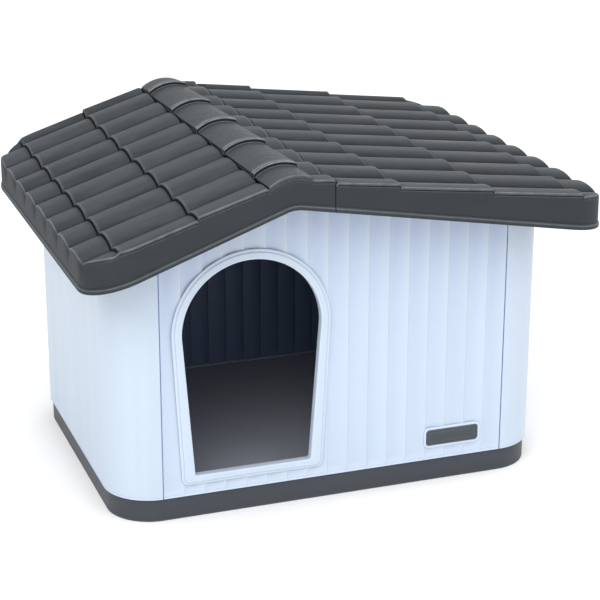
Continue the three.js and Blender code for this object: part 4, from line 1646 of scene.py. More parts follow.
# ---------------------------------------------------------------- walls
# The edge mask lightens the foot lip, for worn edges and painted highlights; the crease mask paints the shade
# below and above it.
# Each row: millimetres out, millimetres above the foot, edge mask, crease mask.
WALL_FOOT = (
    (-0.9, 0.0, 0.3, 0.9),
    (-0.25, 0.25, 1.0, 0.3),
    (0.25, 1.0, 1.0, 0.0),
    (0.35, 2.2, 0.8, 0.0),
    (0.2, 3.4, 0.4, 0.0),
    (0.0, 4.6, 0.0, 0.25),
    (0.0, 8.0, 0.0, 0.0),
)
SEAM_ENDS = np.array([0, 0.3, 0.9, 1.8]) * MM


@dataclass(frozen=True)
class WallForm:
    """The walls' driving sizes and the lines that follow from them."""

    roof: RoofForm
    left: float = -484 * MM
    right: float = 466 * MM
    half_depth: float = 348 * MM
    corner: float = 100 * MM
    thick: float = 3 * MM
    foot: float = 50.3 * MM
    flange: float = 22 * MM
    flange_thick: float = 3 * MM
    return_drop: float = 32 * MM
    gap: float = 0.3 * MM
    flutes: int = 17
    flute_depth: float = 3.5 * MM
    flute_skew: float = 0.65
    top_gap: float = 8 * MM
    notch: float = 1.5 * MM
    support: float = 12 * MM
    foot_lip: float = 8 * MM
    seam_round: float = 1.8 * MM
    seam_width: float = 2.2 * MM
    seam_line: float = 0.8 * MM

    @property
    def outline(self) -> RoundedBox:
        """The walls' outline seen from above."""
        return RoundedBox(self.left, self.right, self.half_depth, self.corner)

    @property
    def seams(self) -> tuple[float, float]:
        """The X of the two seams in the front."""
        return self.left + self.corner, self.right - self.corner

    def top(self, x: np.ndarray) -> np.ndarray:
        """The walls' top line.

        Args:
            x: Places along X.

        Returns:
            The heights.
        """
        roof = self.roof
        left = roof.skirt_apex + roof.left_rise - math.tan(roof.left_pitch) * (roof.ridge_x - x)
        right = roof.skirt_apex + roof.right_rise - math.tan(roof.right_tile_pitch) * (x - roof.ridge_x)
        return np.minimum(left, right) - self.top_gap

    def notched_top(self, x: np.ndarray) -> np.ndarray:
        """The walls' top line, with the room that the lid's edge needs to turn in.

        Args:
            x: Places along X.

        Returns:
            The heights.
        """
        hinge_x, hinge_z = self.roof.hinge
        sweep_radius = self.roof.lid_round + self.notch
        across = np.clip(np.abs(x - hinge_x), 0, sweep_radius)
        return np.minimum(self.top(x), hinge_z - np.sqrt(sweep_radius**2 - across**2))

    def return_top(self) -> float:
        """How high the panels' returns reach."""
        return float(self.top(np.array(self.seams[0]))) - self.return_drop

    def seam_ease(self, from_seam: np.ndarray) -> tuple[np.ndarray, np.ndarray]:
        """How far a face falls back at places beside a seam, and how much painted shade darkens it there."""
        back = self.seam_round * np.clip(1 - from_seam / self.seam_width, 0, 1) ** 2
        return back, np.clip(2.0 - from_seam / self.seam_line, 0, 1)

    def add_skin(
        self, shell: Shell, section: Section, path: np.ndarray, outward: np.ndarray, inside: Numbers
    ) -> None:
        """Adds a wall's face, its back and the strips that close them.

        Args:
            shell: The shell that they go into.
            section: The rows of the face.
            path: The wall's path seen from above.
            outward: The outward direction at each point.
            inside: How far out the back lies, which is below zero.
        """
        face = sweep(path, outward, section.rows)
        back = sweep(path, outward, [(inside, height) for _, height in section.rows])
        back[0, :, 2] = self.foot
        shell.sheet(face, np.stack(section.edges), np.stack(section.creases))
        shell.sheet(back)
        for row in (0, -1):
            shell.sheet(np.stack([face[row], back[row]]))
        # The panel's cut ends are painted dark: the shade in the seam gap.
        for column in (0, -1):
            shell.sheet(np.stack([face[:, column], back[:, column]], axis=1), crease=1.0)


@dataclass
class FlutedPanel:
    """A fluted panel between the two side walls, with its foot flange and its two returns."""

    form: WallForm
    end: int = -1

    def inset(self, x: np.ndarray) -> np.ndarray:
        """How far the fluted face lies inside the walls' outline.

        Args:
            x: Places along X.

        Returns:
            The depths.
        """
        left, right = self.form.seams
        across = (x - left) / (right - left)
        across = (across if self.end < 0 else 1 - across) * self.form.flutes
        share = np.clip(across - np.floor(across + 1e-9), 0, 1)
        return self.form.flute_depth * np.sin(np.pi * share**self.form.flute_skew)

    def columns(self) -> np.ndarray:
        """Places across the panel, closer together where a flute starts.

        Returns:
            Their X, from the left.
        """
        left, right = self.form.seams
        pitch = (right - left) / self.form.flutes
        part = np.array([0, 0.012, 0.035, 0.07, 0.12, 0.19, 0.28, 0.38, 0.5, 0.62, 0.74, 0.86, 0.94, 0.985])
        part = part if self.end < 0 else np.sort((1 - part) % 1.0)
        inner = np.concatenate([left + (k + part) * pitch for k in range(self.form.flutes)])
        half_gap = self.form.gap / 2
        inner = inner[(inner > left + 2.4 * MM) & (inner < right - 2.4 * MM)]
        notch = self.form.roof.hinge[0] + np.array([-9, -8, -6.5, -4, 0, 4, 6.5, 8, 9]) * MM
        columns = np.concatenate([left + half_gap + SEAM_ENDS, inner, notch, right - half_gap - SEAM_ENDS])
        return np.unique(np.round(columns, 6))

    def build(self, name: str) -> Object:
        """Makes the panel, before its openings are cut.

        Args:
            name: The piece's name.

        Returns:
            The panel.
        """
        form = self.form
        x = self.columns()
        left, right = form.seams
        seam_round, seam_dark = form.seam_ease(np.minimum(x - left, right - x))
        flute = self.inset(x)
        share = flute / form.flute_depth
        section = Section(len(x))
        for out, rise, edge, crease in WALL_FOOT:
            fluted = min(max((rise - 3.0) / 5.0, 0.0), 1.0)
            face = out * MM - flute * fluted - seam_round
            section.add(face, form.foot + rise * MM, edge, np.maximum(crease, seam_dark))
        start = form.foot + form.foot_lip
        span = form.notched_top(x) - start
        # Painted shade on each flute's steep side, stronger towards the top under the eaves, and a painted
        # highlight line along the flutes' ridges.
        for part in (0.02, 0.15, 0.3, 0.45, 0.6, 0.75, 0.9, 1.0):
            crease = np.maximum((0.06 + 0.34 * part**3) * share, seam_dark)
            section.add(-flute - seam_round, start + span * part, 0.35 * (1 - share) ** 6, crease)
        outward = np.array([[0.0, float(self.end)]]).repeat(len(x), axis=0)
        path = np.column_stack([x, np.full_like(x, self.end * form.half_depth)])
        shell = Shell()
        form.add_skin(shell, section, path, outward, -flute - form.thick)
        return shell.build(name)

    def flanges(self, name: str) -> Object:
        """Makes the foot flange and the two returns behind the panel.

        Args:
            name: The piece's name.

        Returns:
            The flanges.
        """
        form = self.form
        left, right = (seam + way * form.gap / 2 for seam, way in zip(form.seams, (1, -1)))
        behind = form.half_depth - form.flute_depth - form.thick / 2
        inner = form.half_depth - form.flange
        parts = [(left, right, form.foot, form.foot + form.flange_thick)]
        for start, finish in ((left, left + form.thick), (right - form.thick, right)):
            parts.append((start, finish, form.foot, form.return_top()))
        shell = Shell()
        for x0, x1, z0, z1 in parts:
            add_block(shell, (x0, x1), (self.end * behind, self.end * inner), (z0, z1))
        return shell.build(name)


def add_block(
    shell: Shell, x: Sequence[float], y: Sequence[float], z: Sequence[float], round_by: float = 0.5 * MM
) -> None:
    """Adds a block with eased edges.

    Args:
        shell: The shell that it goes into.
        x: Its two ends along X.
        y: Its two ends along Y.
        z: Its two ends along Z.
        round_by: How far its edges are eased.
    """
    low = np.array([min(x), min(y), min(z)])
    high = np.array([max(x), max(y), max(z)])
    ease = min(round_by, float((high - low).min()) * 0.3)
    rows = []
    for height, inset in ((low[2], ease), (low[2] + ease, 0.0), (high[2] - ease, 0.0), (high[2], ease)):
        ring = []
        for corner_x, corner_y in ((0, 0), (1, 0), (1, 1), (0, 1)):
            base = np.where([corner_x, corner_y], high[:2] - inset, low[:2] + inset)
            towards = np.where([corner_x, corner_y], -1, 1) * ease
            turned = (corner_x + corner_y) % 2 == 0
            first = base + (towards * [0, 1] if turned else towards * [1, 0])
            second = base + (towards * [1, 0] if turned else towards * [0, 1])
            ring += [[*first, height], [*second, height]]
        rows.append(ring)
    # The block's rims are lightened, for worn edges and painted highlights.
    shell.solid(np.array(rows), edge=np.array([[1], [0.5], [0.5], [1]]))


@dataclass
class SideWall:
    """A smooth side wall that wraps round both corners to the seams."""

    form: WallForm
    side: Side

    @property
    def seam(self) -> float:
        """The X of the wall's two seams."""
        return self.form.seams[0] if self.side is Side.LEFT else self.form.seams[1]

    @property
    def end(self) -> float:
        """Where the wall ends beside its seams."""
        return self.seam + self.side.value * self.form.gap / 2

    def path(self) -> np.ndarray:
        """The wall's outer face seen from above.

        Returns:
            Points from the front seam round to the rear seam, shaped (count, 2).
        """
        form = self.form
        sign = self.side.value
        loop = form.outline.loop(28, 12)
        beyond = loop[(loop[:, 0] - self.seam) * sign > 0.2 * MM]
        outer = form.left if self.side is Side.LEFT else form.right
        angle = np.arctan2(beyond[:, 1], (beyond[:, 0] - outer + sign * 0.3) * sign)
        ordered = beyond[np.argsort(angle)]
        ends = SEAM_ENDS * sign
        front = np.column_stack([self.end + ends, np.full(4, -form.half_depth)])
        rear = np.column_stack([self.end + ends[::-1], np.full(4, form.half_depth)])
        clear = ordered[np.abs(ordered[:, 0] - self.end) > form.seam_width]
        return np.concatenate([front, clear, rear])

    def build(self, name: str) -> Object:
        """Makes the wall.

        Args:
            name: The piece's name.

        Returns:
            The wall.
        """
        form = self.form
        path = self.path()
        outward = directions(form.outline, path)
        outward[:4] = (0, -1)
        outward[-4:] = (0, 1)
        x = path[:, 0]
        seam_round, seam_dark = form.seam_ease(np.abs(x - self.seam))
        section = Section(len(x))
        for out, rise, edge, crease in WALL_FOOT:
            section.add(out * MM - seam_round, form.foot + rise * MM, edge, np.maximum(crease, seam_dark))
        start = form.foot + form.foot_lip
        span = form.top(x) - start
        for part in (0.02, 0.2, 0.4, 0.6, 0.8, 1.0):
            section.add(-seam_round, start + span * part, 0.0, seam_dark)
        shell = Shell()
        form.add_skin(shell, section, path, outward, -form.thick)
        flange_top = form.foot + form.flange_thick
        near, away = -form.thick * 0.5, -form.flange
        corners = ((near, form.foot), (away, form.foot), (away, flange_top), (near, flange_top))
        flange = sweep(path, outward, corners)
        shell.close_ends(shell.sheet(flange))
        shell.sheet(flange[[3, 0]])
        for way in (-1, 1):
            reach = (way * (form.half_depth - form.thick / 2), way * (form.half_depth - form.flange))
            width = (self.end, self.end + self.side.value * form.thick)
            add_block(shell, width, reach, (form.foot, form.return_top()))
        return shell.build(name)


@dataclass
class RoofInside:
    """What a roof panel carries inside: the ring that rests on the walls, and what holds or turns it."""

    walls: WallForm
    panel: RoofPanel
    boss: float = 5 * MM
    boss_length: float = 4.6 * MM
    tab_width: float = 60 * MM
    tab_thick: float = 3 * MM
    tab_drop: float = 26 * MM
    lug: float = 5 * MM
    lug_thick: float = 6 * MM
    lug_gap: float = 0.3 * MM
    shell: Shell = field(default_factory=Shell)

    def ring_path(self) -> np.ndarray:
        """The part of the walls' outline that lies under the panel.

        Returns:
            Points from seam to seam, shaped (count, 2).
        """
        form = self.walls.roof
        side = self.panel.side
        seam = form.seam_x + (form.seam_gap if side is Side.RIGHT else 0)
        loop = self.walls.outline.loop(20, 90)
        under = (loop[:, 0] - seam) * side.value > 0.5 * MM
        start = int(np.flatnonzero(under & ~np.roll(under, 1))[0])
        run = np.roll(loop, -start, axis=0)[: int(under.sum())]
        first = -self.walls.half_depth * side.value
        return np.concatenate([[(seam, first)], run, [(seam, -first)]])

    def add_ring(self) -> None:
        """Adds the ring that rests on the walls."""
        form = self.walls.roof
        path = self.ring_path()
        outward = directions(self.walls.outline, path)
        outward[[0, -1]] = outward[[1, -2]]
        x = path[:, 0]
        low = self.walls.top(x) + self.walls.gap
        if self.panel.side is Side.RIGHT:
            hinge_x, hinge_z = form.hinge
            arc = np.sqrt(form.lid_round**2 - np.clip(hinge_x - x, 0, form.lid_round) ** 2)
            low = np.where(x < hinge_x, np.maximum(low, hinge_z - arc), low)
        highs = []
        for inset in (0.0, self.walls.support):
            place = path - outward * inset
            high = self.panel.height(place[:, 0], place[:, 1], 1.5 * MM)
            high = np.minimum.reduce([high, np.roll(high, 1), np.roll(high, -1)])
            highs.append(np.maximum(high, low + 0.2 * MM))
        section = ((0.0, highs[0]), (0.0, low), (-self.walls.support, low), (-self.walls.support, highs[1]))
        points = sweep(path, outward, section)
        index = self.shell.sheet(points)
        self.shell.sheet(points[[-1, 0]])
        self.shell.close_ends(index)

    def middles(self, start: str) -> list[Vector]:
        """The middles of the nodes whose names start in one way, in the order of their names."""
        return [sum(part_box(name), Vector()) / 2 for name in sorted(frame["nodes"]) if name.startswith(start)]

    def add_holders(self) -> None:
        """Adds the bosses for the hinge arms and the tabs that are screwed to the left wall."""
        form = self.walls.roof
        inner = form.half_depth - form.verge - 0.5 * MM
        angle = np.linspace(0, 2 * np.pi, 33)[:-1]
        circle = self.boss * np.column_stack([np.cos(angle), np.sin(angle)])
        for middle in self.middles("hinge_screw"):
            sign = math.copysign(1, middle.y)
            ends = (sign * (inner + MM), sign * (inner - self.boss_length))
            add_prism(self.shell, [middle.x, middle.z] + circle, *ends)
        left = self.walls.left + self.walls.thick + 2 * self.walls.gap
        top = float(self.walls.top(np.array(self.walls.left)))
        for middle in self.middles("roof_screw"):
            width = (middle.y - self.tab_width / 2, middle.y + self.tab_width / 2)
            height = (top - self.tab_drop, top + self.tab_thick)
            add_block(self.shell, (left, left + self.tab_thick), width, height)

    def add_lugs(self) -> None:
        """Adds the lugs that the hinge pins pass through."""
        angle = np.linspace(0, -np.pi, 17)
        round_foot = np.column_stack([self.lug * np.cos(angle), self.lug * np.sin(angle)])
        outline = np.concatenate([round_foot, [(-self.lug, 8.5 * MM), (self.lug + 2 * MM, 9.5 * MM)]])
        for name in ("hinge_arm_front", "hinge_arm_rear"):
            low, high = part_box(name)
            sign = math.copysign(1, low.y)
            outer = sign * (min(abs(low.y), abs(high.y)) - self.lug_gap)
            add_prism(self.shell, outline + self.walls.roof.hinge, outer, outer - sign * self.lug_thick)

    def build(self, name: str) -> Object:
        """Makes what the panel carries inside.

        Args:
            name: The piece's name.

        Returns:
            The piece, to be joined to the panel.
        """
        self.add_ring()
        if self.panel.side is Side.LEFT:
            self.add_holders()
        else:
            self.add_lugs()
        return self.shell.build(name)


@dataclass(frozen=True)
class DoorForm:
    """The doorway's driving sizes."""

    centre_x: float = -193 * MM
    arch_z: float = 395.5 * MM
    sill: float = 95 * MM
    half_width: float = 124 * MM
    arch: float = 146.5 * MM
    corner: float = 5 * MM
    frame_foot: float = 75 * MM
    frame_half_width: float = 151.5 * MM
    frame_arch: float = 168 * MM
    frame_corner: float = 16 * MM
    frame_thick: float = 5 * MM
    sleeve: float = 4 * MM
    sleeve_depth: float = 17 * MM

    def outline(self, half_width: float, foot: float, arch: float, corner: float) -> np.ndarray:
        """An arched outline, with the same number of points whatever its sizes.

        Args:
            half_width: Half its width at the foot.
            foot: The height of its lower edge.
            arch: The arch's radius.
            corner: The radius of its lower corners.

        Returns:
            Points in X and Z from the middle of the foot to the right and round, shaped (count, 2).
        """
        turn = np.linspace(0, 1, 11)[:, None]
        foot_point = np.array([half_width, foot])
        before = foot_point - [corner, 0]
        side = np.array([arch, self.arch_z])
        along = (side - foot_point) / np.linalg.norm(side - foot_point)
        after = foot_point + along * corner
        bend = (1 - turn) ** 2 * before + 2 * (1 - turn) * turn * foot_point + turn**2 * after
        sill = np.linspace(0, 1, 8)[:-1, None] * before * [1, 0] + [0, foot]
        rise = after + (side - after) * np.linspace(0, 1, 16)[1:-1, None]
        angle = np.linspace(0, np.pi / 2, 33)
        over = np.column_stack([arch * np.cos(angle), self.arch_z + arch * np.sin(angle)])
        half = np.concatenate([sill, bend, rise, over])
        mirrored = half[::-1][1:-1] * [-1, 1]
        return np.concatenate([half, mirrored]) + [self.centre_x, 0]

    def opening(self, grow: float = 0.0) -> np.ndarray:
        """The opening's outline, grown by a distance."""
        return self.outline(self.half_width + grow, self.sill - grow, self.arch + grow, self.corner + grow)

    def rim(self, inset: float = 0.0) -> np.ndarray:
        """The surround's outer outline, drawn in by an inset."""
        width, arch = self.frame_half_width - inset, self.frame_arch - inset
        return self.outline(width, self.frame_foot + inset, arch, self.frame_corner - inset)


# The edge mask paints highlight lines and worn edges; the crease mask paints the shadow round the rim and in
# the step.
# Each row: millimetres in from the surround's rim, millimetres out of the wall, edge mask, crease mask.
SURROUND_FACE = (
    (0.0, 0.3, 0.3, 0.9),
    (0.0, 1.5, 0.2, 0.4),
    (0.3, 2.3, 0.6, 0.0),
    (1.0, 2.9, 0.9, 0.0),
    (2.2, 3.2, 0.6, 0.0),
    (5.0, 3.3, 0.0, 0.1),
    (6.4, 3.4, 0.0, 0.45),
    (7.0, 4.3, 0.5, 0.1),
    (7.8, 4.9, 0.9, 0.0),
    (9.4, 5.1, 0.4, 0.0),
    (13.0, 5.2, 0.0, 0.0),
)
# The same, but in millimetres out from the opening.
SURROUND_LIP = (
    (4.4, 5.2, 0.0, 0.0),
    (2.4, 5.1, 0.4, 0.0),
    (1.2, 4.7, 1.0, 0.0),
    (0.35, 3.9, 1.0, 0.0),
    (0.0, 2.8, 0.6, 0.0),
)


@dataclass
class DoorSurround:
    """The raised frame round the doorway, with the sleeve through the front panel."""

    walls: WallForm
    door: DoorForm

    def build(self, name: str) -> Object:
        """Makes the surround.

        Args:
            name: The piece's name.

        Returns:
            The surround.
        """
        door = self.door
        outer = door.rim()
        inner = door.opening()
        grown = door.opening(door.sleeve)
        width = np.linalg.norm(outer - inner, axis=1)
        depth = door.frame_thick + self.walls.gap - door.sleeve_depth
        rows = []
        for start, end, profile in ((outer, inner, SURROUND_FACE), (inner, outer, SURROUND_LIP)):
            for away, rise, edge, crease in profile:
                rows.append((start + (end - start) * (away * MM / width)[:, None], rise * MM, edge, crease))
        # The sleeve's rims are lightened for worn edges and highlights, and painted shade lies where it meets
        # the panel.
        rows += [
            (inner, depth + 0.8 * MM, 0.4, 0.0),
            (inner + (grown - inner) * 0.2, depth, 0.8, 0.0),
            (grown, depth, 0.3, 0.0),
            (grown, self.walls.gap, 0.0, 0.6),
        ]
        points = [at_depth(flat, -self.walls.half_depth - rise) for flat, rise, _, _ in rows]
        shell = Shell()
        index = shell.sheet(np.stack(points), *row_masks(rows), closed=True)
        shell.bridge(index[-1], index[0])
        return shell.build(name)


# In these two tables the edge mask lightens the rims, for worn edges and painted highlights, and the crease
# mask paints the shadow round the border and the plate.
# Each row: millimetres grown from the plate's outline, millimetres out of the wall, edge mask, crease mask.
PLATE_BORDER = (
    (6.0, -2.5, 0.0, 0.5),
    (6.0, 0.4, 0.2, 0.5),
    (5.7, 1.3, 0.8, 0.0),
    (4.8, 2.1, 1.0, 0.0),
    (3.4, 2.5, 0.7, 0.0),
    (1.9, 2.45, 0.5, 0.0),
    (0.9, 2.1, 0.6, 0.0),
    (0.35, 1.2, 0.3, 0.5),
    (0.3, -0.8, 0.0, 1.0),
    (0.3, -2.5, 0.0, 1.0),
)
PLATE_FACE = (
    (0.0, -0.6, 0.0, 0.9),
    (0.0, 1.2, 0.3, 0.3),
    (-0.25, 1.75, 1.0, 0.0),
    (-0.9, 2.0, 1.0, 0.0),
    (-2.2, 2.0, 0.4, 0.0),
    (-3.0, 1.75, 0.1, 0.3),
    (-4.2, 1.6, 0.0, 0.15),
    (-5.6, 1.6, 0.0, 0.3),
    (-6.2, 1.8, 0.5, 0.0),
    (-7.0, 2.0, 0.5, 0.0),
    (-9.0, 2.0, 0.0, 0.0),
)


@dataclass
class NamePlate:
    """The bare plate low on the front panel, and the border that it sits in."""

    walls: WallForm
    centre_x: float = 252.5 * MM
    centre_z: float = 100.75 * MM
    width: float = 119 * MM
    height: float = 35 * MM
    corner: float = 7 * MM
    border: float = 6 * MM

    def outline(self, grow: float) -> np.ndarray:
        """The plate's outline, with the same number of points however far it is grown.

        Args:
            grow: The distance that it is grown by.

        Returns:
            Points in X and Z, shaped (count, 2).
        """
        half_width = self.width / 2 + grow
        corner = max(self.corner + grow, 1 * MM)
        left, right = self.centre_x - half_width, self.centre_x + half_width
        return RoundedBox(left, right, self.height / 2 + grow, corner).loop(10, 4) + [0, self.centre_z]

    def rings(self, section: Profile) -> np.ndarray:
        """Rings of points from a section's rows."""
        places = [(row[0] * MM, -self.walls.half_depth - row[1] * MM) for row in section]
        return np.stack([at_depth(self.outline(grow), y) for grow, y in places])

    def build_border(self) -> Object:
        """Makes the border, to be joined to the front panel.

        Returns:
            The border.
        """
        shell = Shell()
        points = self.rings(PLATE_BORDER)
        shell.sheet(points, *row_masks(PLATE_BORDER), closed=True)
        shell.sheet(points[[-1, 0]], closed=True)
        return shell.build("plate_border")

    def build(self, name: str) -> Object:
        """Makes the plate.

        Args:
            name: The piece's name.

        Returns:
            The plate.
        """
        shell = Shell()
        index = shell.sheet(self.rings(PLATE_FACE), *row_masks(PLATE_FACE), closed=True)
        shell.face(index[-1])
        shell.face(index[0][::-1])
        return shell.build(name)


# ---------------------------------------------------------------- base
@dataclass
class BaseTray:
    """The slate grey foot that the walls stand on."""

    walls: WallForm
    inset: float = 5 * MM
    height: float = 50 * MM
    skin: float = 3 * MM
    ledge: float = 40 * MM
    ledge_thick: float = 5 * MM
    rim: float = 3 * MM
    ribs_across: int = 4
    ribs_along: int = 3

    def build(self, name: str) -> Object:
        """Makes the tray.

        Args:
            name: The piece's name.

        Returns:
            The tray.
        """
        outline = self.walls.outline.inset(self.inset)
        path = outline.loop(30, 12)
        outward = directions(outline, path)
        rim_out = self.inset - self.walls.flange - 2 * self.walls.gap
        top = self.height
        # The edge mask lightens the rims, for worn edges and painted highlights; the crease mask paints shade
        # under the rim, at the foot and in the ledge's corners.
        section = (
            (-3.0 * MM, 0.0, 0.0, 0.8),
            (-1.6 * MM, 0.3 * MM, 0.5, 0.2),
            (-0.6 * MM, 1.2 * MM, 1.0, 0.0),
            (-0.1 * MM, 2.8 * MM, 0.6, 0.0),
            (0.0, 6.0 * MM, 0.0, 0.0),
            (0.0, 20.0 * MM, 0.0, 0.0),
            (0.0, top - 6.0 * MM, 0.0, 0.0),
            (0.0, top - 1.5 * MM, 0.0, 0.5),
            (-0.5 * MM, top - 0.3 * MM, 0.0, 0.9),
            (-1.5 * MM, top, 0.0, 1.0),
            (rim_out, top, 0.0, 0.3),
            (rim_out, top + self.rim - 0.4 * MM, 0.3, 0.0),
            (rim_out - 0.4 * MM, top + self.rim, 0.8, 0.0),
            (rim_out - self.rim, top + self.rim, 0.5, 0.0),
            (rim_out - self.rim, top, 0.0, 0.4),
            (self.inset - self.ledge, top, 0.3, 0.0),
            (self.inset - self.ledge, top - self.ledge_thick, 0.0, 0.0),
            (-self.skin, top - self.ledge_thick, 0.0, 0.5),
            (-self.skin, self.skin, 0.0, 0.5),
        )
        points = sweep(path, outward, [(out, z) for out, z, _, _ in section])
        shell = Shell()
        shell.solid(points, *row_masks(section))
        half = self.rim / 2
        left, right = outline.left + self.skin, outline.right - self.skin
        depth = outline.half_depth - self.skin
        z = (self.skin - 0.5 * MM, top - self.walls.gap)
        for k in range(1, self.ribs_across + 1):
            x = self.walls.left + (self.walls.right - self.walls.left) * k / (self.ribs_across + 1)
            add_block(shell, (x - half, x + half), (-depth, depth), z)
        for k in range(1, self.ribs_along + 1):
            y = self.walls.half_depth * (2 * k / (self.ribs_along + 1) - 1)
            add_block(shell, (left, right), (y - half, y + half), z)
        return shell.build(name)


# ---------------------------------------------------------------- fasteners
@dataclass(frozen=True)
class PanScrew:
    """A pan-head screw with a cross recess."""

    shank: float = 2 * MM
    head_height: float = 2.6 * MM
    crown: float = 0.35
    turns: int = 7
    top_share: float = 0.62
    slot_half: float = 0.55 * MM
    slot_reach: float = 0.55
    slot_depth: float = 1.3 * MM

    def side_rows(self, length: float, head: float) -> Profile:
        """The shank with its turned ridges, and the head up to its crown.

        Args:
            length: The shank's length.
            head: The head's radius.

        Returns:
            The radius, the height, the edge mask and the crease mask of each row, from the tip.
        """
        rows = []
        steps = self.turns * 6
        for k in range(steps, -1, -1):
            along = length * k / steps
            ridge = self.shank * (1.0 if k % 6 in (2, 3) else 0.8)
            rows.append((ridge * min(1.0, (length - along) / (2 * MM) + 0.15), -along, 0.3, 0.0))
        # The head's rim is lightened, for a worn edge and a painted highlight.
        rows += [(self.shank, 0.0, 0.0, 0.8), (head * 0.98, 0.0, 0.2, 0.8), (head, 0.3 * MM, 0.8, 0.0)]
        for turn in np.linspace(0.15, 1.0, 7):
            swing = turn * math.pi / 2
            radius = head * (self.crown + (1 - self.crown) * math.cos(swing) ** 0.6)
            rows.append((radius, self.head_height * math.sin(swing), 0.3, 0.0))
        return rows

    def build(self, name: str, seat: Vector, axis: Vector, length: float, head: float) -> Object:
        """Makes one screw.

        Args:
            name: The piece's name.
            seat: Where the head's seat is.
            axis: The direction that the head looks in.
            length: The shank's length.
            head: The head's radius.

        Returns:
            The screw.
        """
        angle = np.linspace(0, 2 * np.pi, 49)[:-1]
        section = Section(len(angle))
        for radius, height, edge, crease in self.side_rows(length, head):
            section.add(radius, height, edge, crease)
        crown_radius = head * self.crown + 1e-5
        for share in np.linspace(0.95, 0.08, 9):
            radius = share * head * self.top_share
            if radius >= crown_radius:
                radius = crown_radius * share
            x, y = radius * np.cos(angle), radius * np.sin(angle)
            crossed = np.minimum(np.abs(x), np.abs(y)) < self.slot_half
            inside = crossed & (np.hypot(x, y) < self.slot_reach * head)
            section.add(radius, self.head_height - self.slot_depth * inside, 0.4 * ~inside, 1.0 * inside)
        around = np.column_stack([np.cos(angle), np.sin(angle)])
        shell = Shell()
        points = sweep(np.zeros_like(around), around, section.rows)
        shell.solid(points, np.stack(section.edges), np.stack(section.creases))
        item = shell.build(name)
        turned = axis.to_track_quat("Z", "Y").to_matrix().to_4x4()
        item.data.transform(Matrix.Translation(seat) @ turned)
        return item


@dataclass
class Fasteners:
    """Every screw of the house, set where its node is."""

    screw: PanScrew
    palette: Palette

    def axis_of(self, node: str) -> Vector:
        """The direction that a screw's head looks in.

        Args:
            node: The screw's node, whose name says where it is.

        Returns:
            The direction.
        """
        kind = node.split("_")[0]
        if kind == "hinge":
            return Vector((0, 1 if "_front_" in node else -1, 0))
        if kind == "strip":
            return Vector((1 if "_left_" in node else -1, 0, 0))
        return Vector((0, 0, 1) if kind == "base" else (1, 0, 0))

    def build(self) -> None:
        """Makes a detailed screw in the place of each screw node."""
        for node in sorted(n for n in frame["nodes"] if "_screw_" in n):
            low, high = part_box(node)
            axis = self.axis_of(node)
            along = max(range(3), key=lambda k: abs(axis[k]))
            across = (along + 1) % 3
            seat = (low + high) / 2
            seat[along] = (high if axis[along] > 0 else low)[along] - axis[along] * self.screw.head_height
            length = high[along] - low[along] - self.screw.head_height
            item = self.screw.build(f"pan_{node}", seat, axis, length, (high[across] - low[across]) / 2)
            settle(item, Body.HOUSE, Slot.STEEL, node, self.palette.steel)


@dataclass(frozen=True)
class Vents:
    """The vent slots under the rear panel's peak."""

    count: int = 5
    half_width: float = 45 * MM
    height: float = 7 * MM
    pitch: float = 16 * MM
    below: float = 45 * MM
    roundness: float = 0.45

    def cut_into(self, rear: Object, walls: WallForm, top: float) -> None:
        """Cuts the slots.

        Args:
            rear: The rear panel.
            walls: The walls' sizes.
            top: The height of the panel's peak.
        """
        x = np.linspace(walls.roof.cap_left, walls.roof.cap_right, 801)
        peak_x = float(x[np.argmax(walls.top(x))])
        radius = self.height * self.roundness
        box = RoundedBox(peak_x - self.half_width, peak_x + self.half_width, self.height / 2, radius)
        near, away = walls.half_depth - CUTTER_REACH, walls.half_depth + CUTTER_REACH
        for k in range(self.count):
            middle = top - self.below - k * self.pitch - self.height / 2
            cut(rear, prism(box.loop(5, 2) + [0, middle], near, away, "vent_cutter"))


